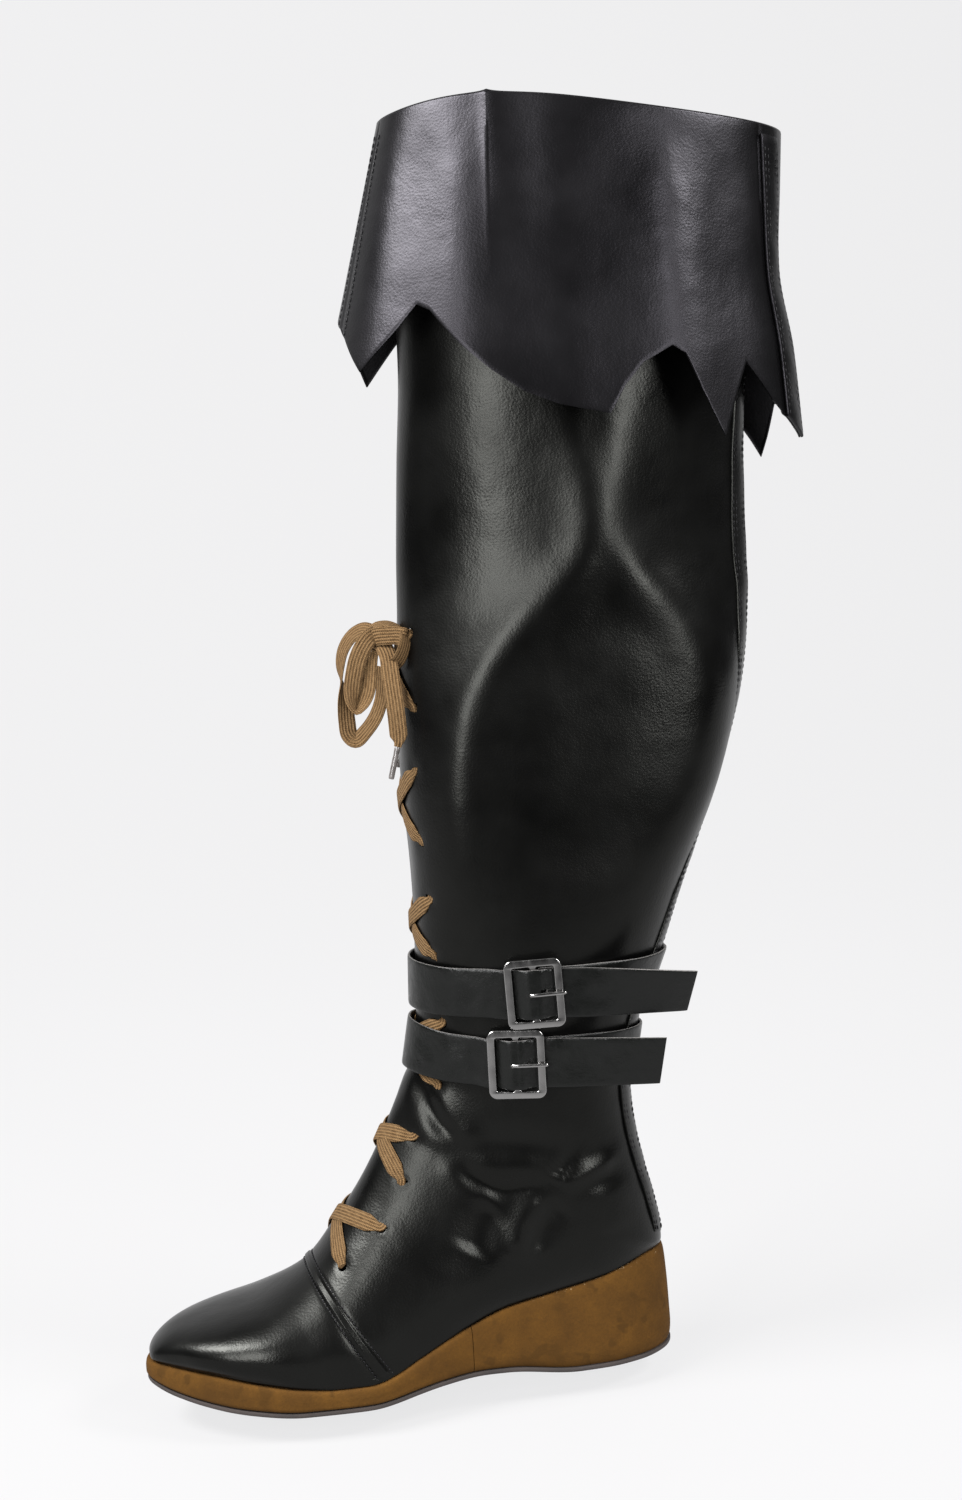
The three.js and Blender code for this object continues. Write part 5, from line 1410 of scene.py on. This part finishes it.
def cuff_tape():
    turn, drop = np.array(HEM["lateral"], float).T
    share = np.array([0, 0.012, 0.05, 0.15, 0.3, 0.5, 0.7, 0.85, 0.95, 0.988, 1])
    places = lerp(CUFF_TAPE_TO, CUFF_TAPE_FROM, share)
    drops = np.interp(places, turn, drop)
    under = CUFF_STAND_OFF + CUFF_WALL + CUFF_TAPE_UNDER
    falls = np.concatenate([np.linspace(0.03, 0.97, 60), [0.985, 0.997, 1]])
    grid = np.meshgrid(falls, places, indexing="ij")
    drop_grid = np.broadcast_to(drops, grid[0].shape)
    crown = 0.35 * np.sin(math.pi * share) ** 0.7
    ripple = 0.18 * np.sin(grid[0] * 34) * np.sin(math.pi * share)
    outer = cuff_point(True, grid[1], grid[0], drop_grid, under + CUFF_TAPE_THICKNESS + 0.2 + crown + ripple)
    inner = cuff_point(True, grid[1], grid[0], drop_grid, CUFF_STAND_OFF + CUFF_WALL - 0.3)
    outer, inner = bevelled(outer, inner)
    made = walled("cuff_back_tape", outer, inner, quads(*grid[0].shape), 50)
    return dress(made, cuff_leather, "shaft_leather", "cuff_back_tape")


back_strip()
cuff()
cuff_tape()


# Straps: heights of the middle line at the front, outer side, back and inner side, the buckle's
# place round the boot and its lean in degrees, and the free end's fall, length and turn.

STRAPS = table("front outer back inner seat slope tilt free twist over_lace", [
    (199, 197.5, 197, 198, 0.483, -2.3, 2.5, 76, 24, 1.6),
    (168, 162.2, 158, 162, 0.455, -0.9, 0, 71, 10, 1.9)])
STRAP_LIFT = STRAP_STAND_OFF + STRAP_THICKNESS / 2
LEFT_BAR_UNDER = STRAP_LIFT + STRAP_THICKNESS / 2 + GAP
RIGHT_BAR_UNDER = LEFT_BAR_UNDER + STRAP_THICKNESS + GAP
CENTRE_BAR_UNDER = (LEFT_BAR_UNDER + RIGHT_BAR_UNDER) / 2
HUMP_LIFT = CENTRE_BAR_UNDER + BUCKLE_THICKNESS + GAP + STRAP_THICKNESS / 2
FREE_LIFT = RIGHT_BAR_UNDER - GAP - STRAP_THICKNESS / 2


def strap_seat(spec, outer, turn, lift):
    """Where a strap lies on the boot: its middle, the way across it and the way out."""
    outer, turn, lift = np.broadcast_arrays(outer, turn, lift)
    t = side_turn(outer, turn)
    forward = np.cos(math.pi * turn)
    side = np.where(outer, spec["outer"], spec["inner"])
    height = lerp(side, np.where(forward > 0, spec["front"], spec["back"]), forward ** 2)
    high = skin_point(section_at_height(t, height + STRAP_WIDTH / 2), t)
    low = skin_point(section_at_height(t, height - STRAP_WIDTH / 2), t)
    across = unit(high - low)
    v = section_at_height(t, height)
    out = across_run(skin_normal(v, t), across)
    middle = (high + low) / 2
    bulge = ((skin_point(v, t) - middle) * out).sum(-1).clip(0)
    return middle + out * (bulge + lift)[..., None], across, out


def buckle_frame(spec):
    """The buckle's own directions: along the strap to the back, up, and out from the boot."""
    origin, _, out = (a[0] for a in strap_seat(spec, True, np.array([spec["seat"]]), 0.0))
    out = unit(out * (1, 1, 0.5))
    tilt = math.radians(spec["tilt"])
    back = unit(np.cross([0, 0, 1.0], out))
    up = unit(np.cross(out, back))
    along = back * math.cos(tilt) + up * math.sin(tilt)
    return origin, along, np.cross(out, along), out


def turned_about(a, axis, angle):
    return (a * np.cos(angle) + np.cross(axis, a) * np.sin(angle)
            + axis * (axis * a).sum(-1, keepdims=True) * (1 - np.cos(angle)))


def strap_stations(spec):
    over_strip = BACK_STRIP_THICKNESS + 0.75
    turn = 1 - (1 - spec["seat"] - 0.01) * (1 - np.arange(11) / 10) ** 1.5
    runs = [strap_seat(spec, True, turn, STRAP_LIFT + over_strip * smoothstep(turn, 0.62, 0.76))]
    turn = 1 - (np.arange(1, 17) / 16) ** 1.3
    over = spec["over_lace"] * smoothstep(1 - turn, 0.68, 0.78) + over_strip * smoothstep(turn, 0.8, 0.92)
    runs.append(strap_seat(spec, turn == 0, turn, STRAP_LIFT + over))
    turn = (spec["seat"] - 0.115) * np.arange(1, 8) / 7
    over = spec["over_lace"] * (1 - smoothstep(turn, 0.22, 0.33))
    runs.append(strap_seat(spec, True, turn, STRAP_LIFT + over))
    middle, across = (np.concatenate([run[k] for run in runs]) for k in (0, 1))
    origin, along, rise, out = buckle_frame(spec)
    half = BUCKLE_WIDTH / 2
    thread = [(-0.95, STRAP_LIFT), (-0.72, STRAP_LIFT), (-0.5, lerp(STRAP_LIFT, HUMP_LIFT, 0.42)),
              (-0.32, lerp(STRAP_LIFT, HUMP_LIFT, 0.82)), (-0.15, HUMP_LIFT), (0.02, HUMP_LIFT - 0.35),
              (0.18, HUMP_LIFT), (0.33, lerp(FREE_LIFT, HUMP_LIFT, 0.6)),
              (0.5, lerp(FREE_LIFT, HUMP_LIFT, 0.18)), (0.66, FREE_LIFT), (1.05, FREE_LIFT)]
    free = [(at, FREE_LIFT + 0.5 * (at - 1)) for at in (1.8, 2.8, 3.9, spec["free"] / half)]
    at, lift = np.array(thread + free).T
    fall = math.tan(math.radians(spec["slope"] - spec["tilt"]))
    places = (origin + along * (at * half)[:, None] + rise * (np.maximum(at, 0) * half * fall)[:, None]
              + out * lift[:, None])
    run = run_of(places)
    away = across_run(np.broadcast_to(out, run.shape), run)
    over = unit(np.cross(away, run))
    twist = np.clip(np.arange(len(at)) - len(thread), 0, None) / (len(free) - 1)
    over = turned_about(over, run, np.radians(spec["twist"] * twist)[:, None])
    return np.concatenate([middle, places]), np.concatenate([across, over])


def strap(name, row):
    spec = {key: column[row] for key, column in STRAPS.items()}
    middle, across = strap_stations(spec)
    station = curve_through(np.concatenate([middle, across], 1), int(length_of(middle) / 1.3))
    middle, across = station[:, :3], station[:, 3:]
    run = run_of(middle)
    across = across_run(across, run)
    out = np.cross(across, run)
    to_edge = np.array([0.08, 0.2, 0.4, 0.6, 0.8, 0.9, 0.96, 0.99, 1])
    shares = np.concatenate([-to_edge[::-1], to_edge])
    body = np.interp(np.abs(shares), [0, 0.8, 0.9, 0.96, 0.99, 1], [1, 1, 0.97, 0.85, 0.66, 0.5])
    crown = 0.18 * (1 - shares ** 2)
    slant = np.clip((np.arange(len(middle)) - len(middle) + 9) / 8, 0, 1) ** 2
    slant = slant * STRAP_END_CUT * STRAP_WIDTH / 2
    end = np.ones(len(middle))
    end[[0, -1]] = 0.55
    at = middle[:, None] + across[:, None] * (shares * STRAP_WIDTH / 2)[:, None]
    at = at + run[:, None] * (slant[:, None] * shares)[..., None]
    half = STRAP_THICKNESS / 2 * end[:, None] * body
    outer = at + out[:, None] * (half + crown)[..., None]
    inner = at - out[:, None] * half[..., None]
    faces = quads(*at.shape[:2])
    origin, along, rise, away = buckle_frame(spec)
    centre = outer.reshape(-1, 3)[faces].mean(1) - origin
    ahead_of, above, off = centre @ along, centre @ rise, centre @ away
    slot = (np.abs(ahead_of - 1.7) < 4.2) & (np.abs(above) < 1.5) & (off > CENTRE_BAR_UNDER)
    made = walled(name, outer, inner, faces[~slot][:, ::-1], 50)
    dress(made, strap_skin, "shaft_leather", name)
    # the edge faces take the pale grey edge colour: partly backing, partly a painted highlight line along the
    # strap's edges
    made.data.materials.append(edge_backing_and_highlight)
    rim = len(faces[~slot]) * 2
    for polygon in made.data.polygons[rim:]:
        polygon.material_index = 1
    return spec


def rounded_box(spline_of, width, height, radius, centre=0):
    """Adds a closed rounded rectangle to a flat curve."""
    points = []
    for x_way, y_way, start in ((1, -1, -90), (1, 1, 0), (-1, 1, 90), (-1, -1, 180)):
        for step in range(9):
            angle = math.radians(start + step * 90 / 8)
            points.append((centre + x_way * (width / 2 - radius) + radius * math.cos(angle),
                           y_way * (height / 2 - radius) + radius * math.sin(angle), 0, 1))
    spline = spline_of.splines.new("POLY")
    spline.points.add(len(points) - 1)
    spline.points.foreach_set("co", np.array(points).ravel())
    spline.use_cyclic_u = True


def buckle(place, spec):
    """Flat die-cut frame with a centre bar and two windows, its edges bevelled, and its prong."""
    bevel = 0.55
    flat = bpy.data.curves.new("buckle outline", "CURVE")
    flat.dimensions, flat.fill_mode = "2D", "BOTH"
    flat.extrude, flat.bevel_depth, flat.offset, flat.bevel_resolution = (
        BUCKLE_THICKNESS / 2 - bevel, bevel, -bevel, 3)
    rounded_box(flat, BUCKLE_WIDTH, BUCKLE_HEIGHT, BUCKLE_CORNER)
    window = (BUCKLE_WIDTH - 2 * BUCKLE_BAR - BUCKLE_CENTRE_BAR) / 2
    for side in (-1, 1):
        rounded_box(flat, window, BUCKLE_HEIGHT - 2 * BUCKLE_BAR, BUCKLE_CORNER / 4,
                    side * (BUCKLE_CENTRE_BAR + window) / 2)
    plan = bpy.data.objects.new("buckle outline", flat)
    mesh = bpy.data.meshes.new_from_object(plan)
    bpy.data.objects.remove(plan)
    points = np.array([v.co for v in mesh.vertices]) + (0, 0, BUCKLE_THICKNESS / 2)
    faces = [tuple(p.vertices) for p in mesh.polygons]
    bpy.data.meshes.remove(mesh)
    origin, along, rise, out = buckle_frame(spec)
    lean = math.atan2(RIGHT_BAR_UNDER - LEFT_BAR_UNDER, BUCKLE_WIDTH - BUCKLE_BAR)
    along_plate = along * math.cos(lean) + out * math.sin(lean)
    away = out * math.cos(lean) - along * math.sin(lean)
    base = origin + out * CENTRE_BAR_UNDER

    def placed(at):
        return base + at[:, :1] * along_plate + at[:, 1:2] * rise + at[:, 2:] * away
    made = bpy.data.meshes.new(f"buckle_{place}")
    made.from_pydata((placed(points) * MM).tolist(), [], faces)
    repaired(made, outwards=True)
    smoothed(made, 30)
    dress(shown(f"buckle_{place}_finished", made), nickel, "buckle_nickel", f"buckle_{place}")
    rest = BUCKLE_THICKNESS + GAP + PRONG_DIAMETER / 2
    line = curve_through([(-2.6, 0, 0.4), (-2.9, 0, 1.6), (-1.9, 0, rest - 0.2), (0.5, 0, rest + 0.35),
                          (5, 0, rest + 0.25), (10, 0, rest), (BUCKLE_WIDTH / 2 + 0.6, 0, rest - 0.15),
                          (BUCKLE_WIDTH / 2 + 1.5, 0, rest - 0.35)], 60)
    size = np.interp(np.linspace(0, 1, 60), [0, 0.9, 0.97, 1], [1, 0.95, 0.8, 0.45])
    prong = ribbon(f"prong_{place}", placed(line), np.broadcast_to(rise, line.shape),
                   PRONG_DIAMETER * size, PRONG_DIAMETER * 0.92 * size, edge=0.9)
    dress(prong, nickel, "buckle_nickel", f"prong_{place}")


for row, place in enumerate(("upper", "lower")):
    buckle(place, strap(f"strap_{place}", row))


# Stitches, by Geometry Nodes along lines of points that carry the way out from the leather.

def stitch_tree():
    tree = bpy.data.node_groups.new("stitches along a line", "GeometryNodeTree")
    face = tree.interface
    face.new_socket("Line", in_out="INPUT", socket_type="NodeSocketGeometry")
    for name, value in (("Spacing", 0.003), ("Stitch length", 0.0023), ("Thread thickness", 0.0006)):
        face.new_socket(name, in_out="INPUT", socket_type="NodeSocketFloat").default_value = value
    face.new_socket("Thread", in_out="INPUT", socket_type="NodeSocketMaterial")
    face.new_socket("Stitches", in_out="OUTPUT", socket_type="NodeSocketGeometry")
    given = add(tree, "NodeGroupInput").outputs
    curve = add(tree, "GeometryNodeMeshToCurve", {"Mesh": given["Line"]}).outputs["Curve"]
    even = add(tree, "GeometryNodeResampleCurve", {"Curve": curve, "Length": given["Spacing"]}, mode="LENGTH")
    way_out = add(tree, "GeometryNodeInputNamedAttribute", {"Name": "out"}, data_type="FLOAT_VECTOR")
    tangent = add(tree, "GeometryNodeInputTangent").outputs["Tangent"]
    first = add(tree, "FunctionNodeAlignRotationToVector", {"Vector": tangent}, axis="X")
    second = add(tree, "FunctionNodeAlignRotationToVector",
                 {"Rotation": first.outputs[0], "Vector": way_out.outputs["Attribute"]},
                 axis="Z", pivot_axis="X")
    size = add(tree, "ShaderNodeCombineXYZ", {"X": given["Stitch length"], "Y": given["Thread thickness"],
                                              "Z": given["Thread thickness"]}).outputs[0]
    grain = add(tree, "GeometryNodeMeshUVSphere", {"Segments": 8, "Rings": 6, "Radius": 0.5}).outputs["Mesh"]
    laid = add(tree, "GeometryNodeInstanceOnPoints", {
        "Points": even.outputs["Curve"], "Instance": grain, "Rotation": second.outputs[0], "Scale": size})
    real = add(tree, "GeometryNodeRealizeInstances", {"Geometry": laid.outputs["Instances"]})
    smooth = add(tree, "GeometryNodeSetShadeSmooth", {0: real.outputs[0]})
    named = add(tree, "GeometryNodeSetMaterial", {"Geometry": smooth.outputs[0], "Material": given["Thread"]})
    add(tree, "NodeGroupOutput", {"Stitches": named.outputs[0]})
    return tree


def stitches(name, lines, spacing, length, thickness):
    """Sews along lines, each a run of points and the ways out at them. Makes one plain mesh."""
    points = np.concatenate([line for line, _ in lines])
    out = np.concatenate([way for _, way in lines])
    starts = np.cumsum([0] + [len(line) for line, _ in lines])
    edges = [(k, k + 1) for a, b in zip(starts, starts[1:]) for k in range(a, b - 1)]
    mesh = bpy.data.meshes.new("seam line")
    mesh.from_pydata((points * MM).tolist(), edges, [])
    ways = mesh.attributes.new("out", "FLOAT_VECTOR", "POINT")
    ways.data.foreach_set("vector", out.astype(np.float32).ravel())
    seam = shown("seam line", mesh)
    sewing = seam.modifiers.new("sewing", "NODES")
    sewing.node_group = STITCHES
    sockets = {item.name: item.identifier for item in STITCHES.interface.items_tree if item.in_out == "INPUT"}
    for key, value in (("Spacing", spacing * MM), ("Stitch length", length * MM),
                       ("Thread thickness", thickness * MM), ("Thread", thread)):
        sewing[sockets[key]] = value
    bpy.context.view_layer.update()
    result = bpy.data.meshes.new_from_object(seam.evaluated_get(bpy.context.evaluated_depsgraph_get()))
    bpy.data.objects.remove(seam)
    sewn = shown(name, result)
    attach(sewn, "root")


STITCHES = stitch_tree()
v = np.linspace(HEEL_ROW + 0.45, back_strip_top() - 0.05, 220)
strip_lines = []
for share in (-0.41, -0.24, 0.24, 0.41):
    t = np.array([around(a, 0, BACK_STRIP_SHIFT + share * BACK_STRIP_WIDTH) for a in v])
    off = lerp(0.8, BACK_STRIP_LIFT + BACK_STRIP_THICKNESS - 0.05, settled(v))
    strip_lines.append((skin(v, t, off), skin_normal(v, t)))
stitches("back_strip_stitches", strip_lines, 3.2, 2.5, 0.7)

seam_lines = []
t = np.linspace(0.015, 0.985, 260)
for place in (VAMP_ROW - 0.05, VAMP_ROW + 0.17):
    v = np.full(len(t), place)
    seam_lines.append((skin(v, t, np.full(len(t), -0.1)), skin_normal(v, t)))
stitches("vamp_seam_stitches", seam_lines, 2.4, 1.9, 0.65)


def cuff_line(place, lift):
    """A line of stitches down the cuff at a turn, with the way out from it."""
    turn_at, drop_at = np.array(HEM["lateral"], float).T
    drop = float(np.interp(place, turn_at, drop_at))
    line = cuff_point(True, place, np.linspace(0.08, 0.98, 80), drop, CUFF_STAND_OFF + CUFF_WALL + lift)
    out = unit(skin_normal(TOP_ROW, side_turn(True, place)) * (1, 1, 0))
    return line, np.broadcast_to(out, line.shape)


on_tape = CUFF_TAPE_UNDER + CUFF_TAPE_THICKNESS + 0.2
cuff_lines = []
for share in (0.1, 0.26, 0.74, 0.9):
    cuff_lines.append(cuff_line(lerp(CUFF_TAPE_FROM, CUFF_TAPE_TO, share), on_tape))
for place in (CUFF_SEAM - 0.016, CUFF_SEAM + 0.016):
    cuff_lines.append(cuff_line(place, cuff_waves(place, True) + 0.1))
stitches("cuff_stitches", cuff_lines, 3.2, 2.5, 0.75)


# Studio: pale floor that curves up into a backdrop, and soft lights.

def studio_paper():
    """White paper that glows evenly by its own emission. Towards the camera the floor in front of it is
    painted dark and does not glow: painted shade for the unlit studio on the camera's side.
    """
    material, tree, surface, place = finish("matt background paper", "#a09f9e", 0.95)
    forward = add(tree, "ShaderNodeSeparateXYZ", {0: place}).outputs[1]
    # painted shade: from 330 to 700 mm towards the camera the paper turns dark and its glow fades out
    front = ranged(tree, forward, 0, 1, 330, 700)
    tree.links.new(blended(tree, front, "#3a3939", "#1c1c1d"), surface.inputs["Base Color"])
    tree.links.new(blended(tree, front, "#f4f4f5", "#000000"), surface.inputs["Emission Color"])
    surface.inputs["Emission Strength"].default_value = 0.84
    bumped(tree, surface, [(noise(tree, place, 40, 2), 0.02)])
    return material


def backdrop():
    profile = [(-2600, 0), (700, 0), (1050, 40), (1300, 160), (1500, 420), (1560, 900), (1580, 2600)]
    line = curve_through([(0, -y, z) for y, z in profile], 60)
    width = np.array([-2600, 0, 2600.0])
    points = np.repeat(line[:, None], 3, 1)
    points[:, :, 0] = width
    made = piece("backdrop", points.reshape(-1, 3), quads(60, 3)[:, ::-1], 60)
    made.data.materials.append(studio_paper())


backdrop()


def softbox(name, place, aim, width, height, power, tint="#ffffff"):
    lamp = bpy.data.lights.new(name, "AREA")
    lamp.shape, lamp.size, lamp.size_y = "RECTANGLE", width, height
    lamp.energy, lamp.color = power, srgb(tint)[:3]
    place, aim = Vector(place), Vector(aim)
    facing = (aim - place).to_track_quat("-Z", "Y").to_matrix().to_4x4()
    shown(name, lamp).matrix_world = Matrix.Translation(place) @ facing


softbox("left softbox", (0.95, 1.15, 0.62), (0.03, 0, 0.34), 0.4, 0.8, 21)
softbox("right softbox", (-0.62, 1.25, 0.62), (0, 0, 0.36), 0.26, 0.8, 13.5)
softbox("high left softbox", (1.2, 0.4, 1.5), (0.03, 0, 0.55), 0.9, 0.55, 80)
softbox("high right softbox", (-1.15, 0.7, 1.4), (0, 0, 0.55), 0.5, 0.5, 40)
softbox("top softbox", (0.1, 0.2, 1.9), (0, 0, 0.2), 1.2, 0.9, 4)
world = bpy.data.worlds.new("studio")
world.use_nodes = True
world.node_tree.nodes["Background"].inputs["Color"].default_value = srgb("#f4f4f6")
world.node_tree.nodes["Background"].inputs["Strength"].default_value = 0.06
bpy.context.scene.world = world
bpy.context.scene.view_settings.view_transform = "Standard"
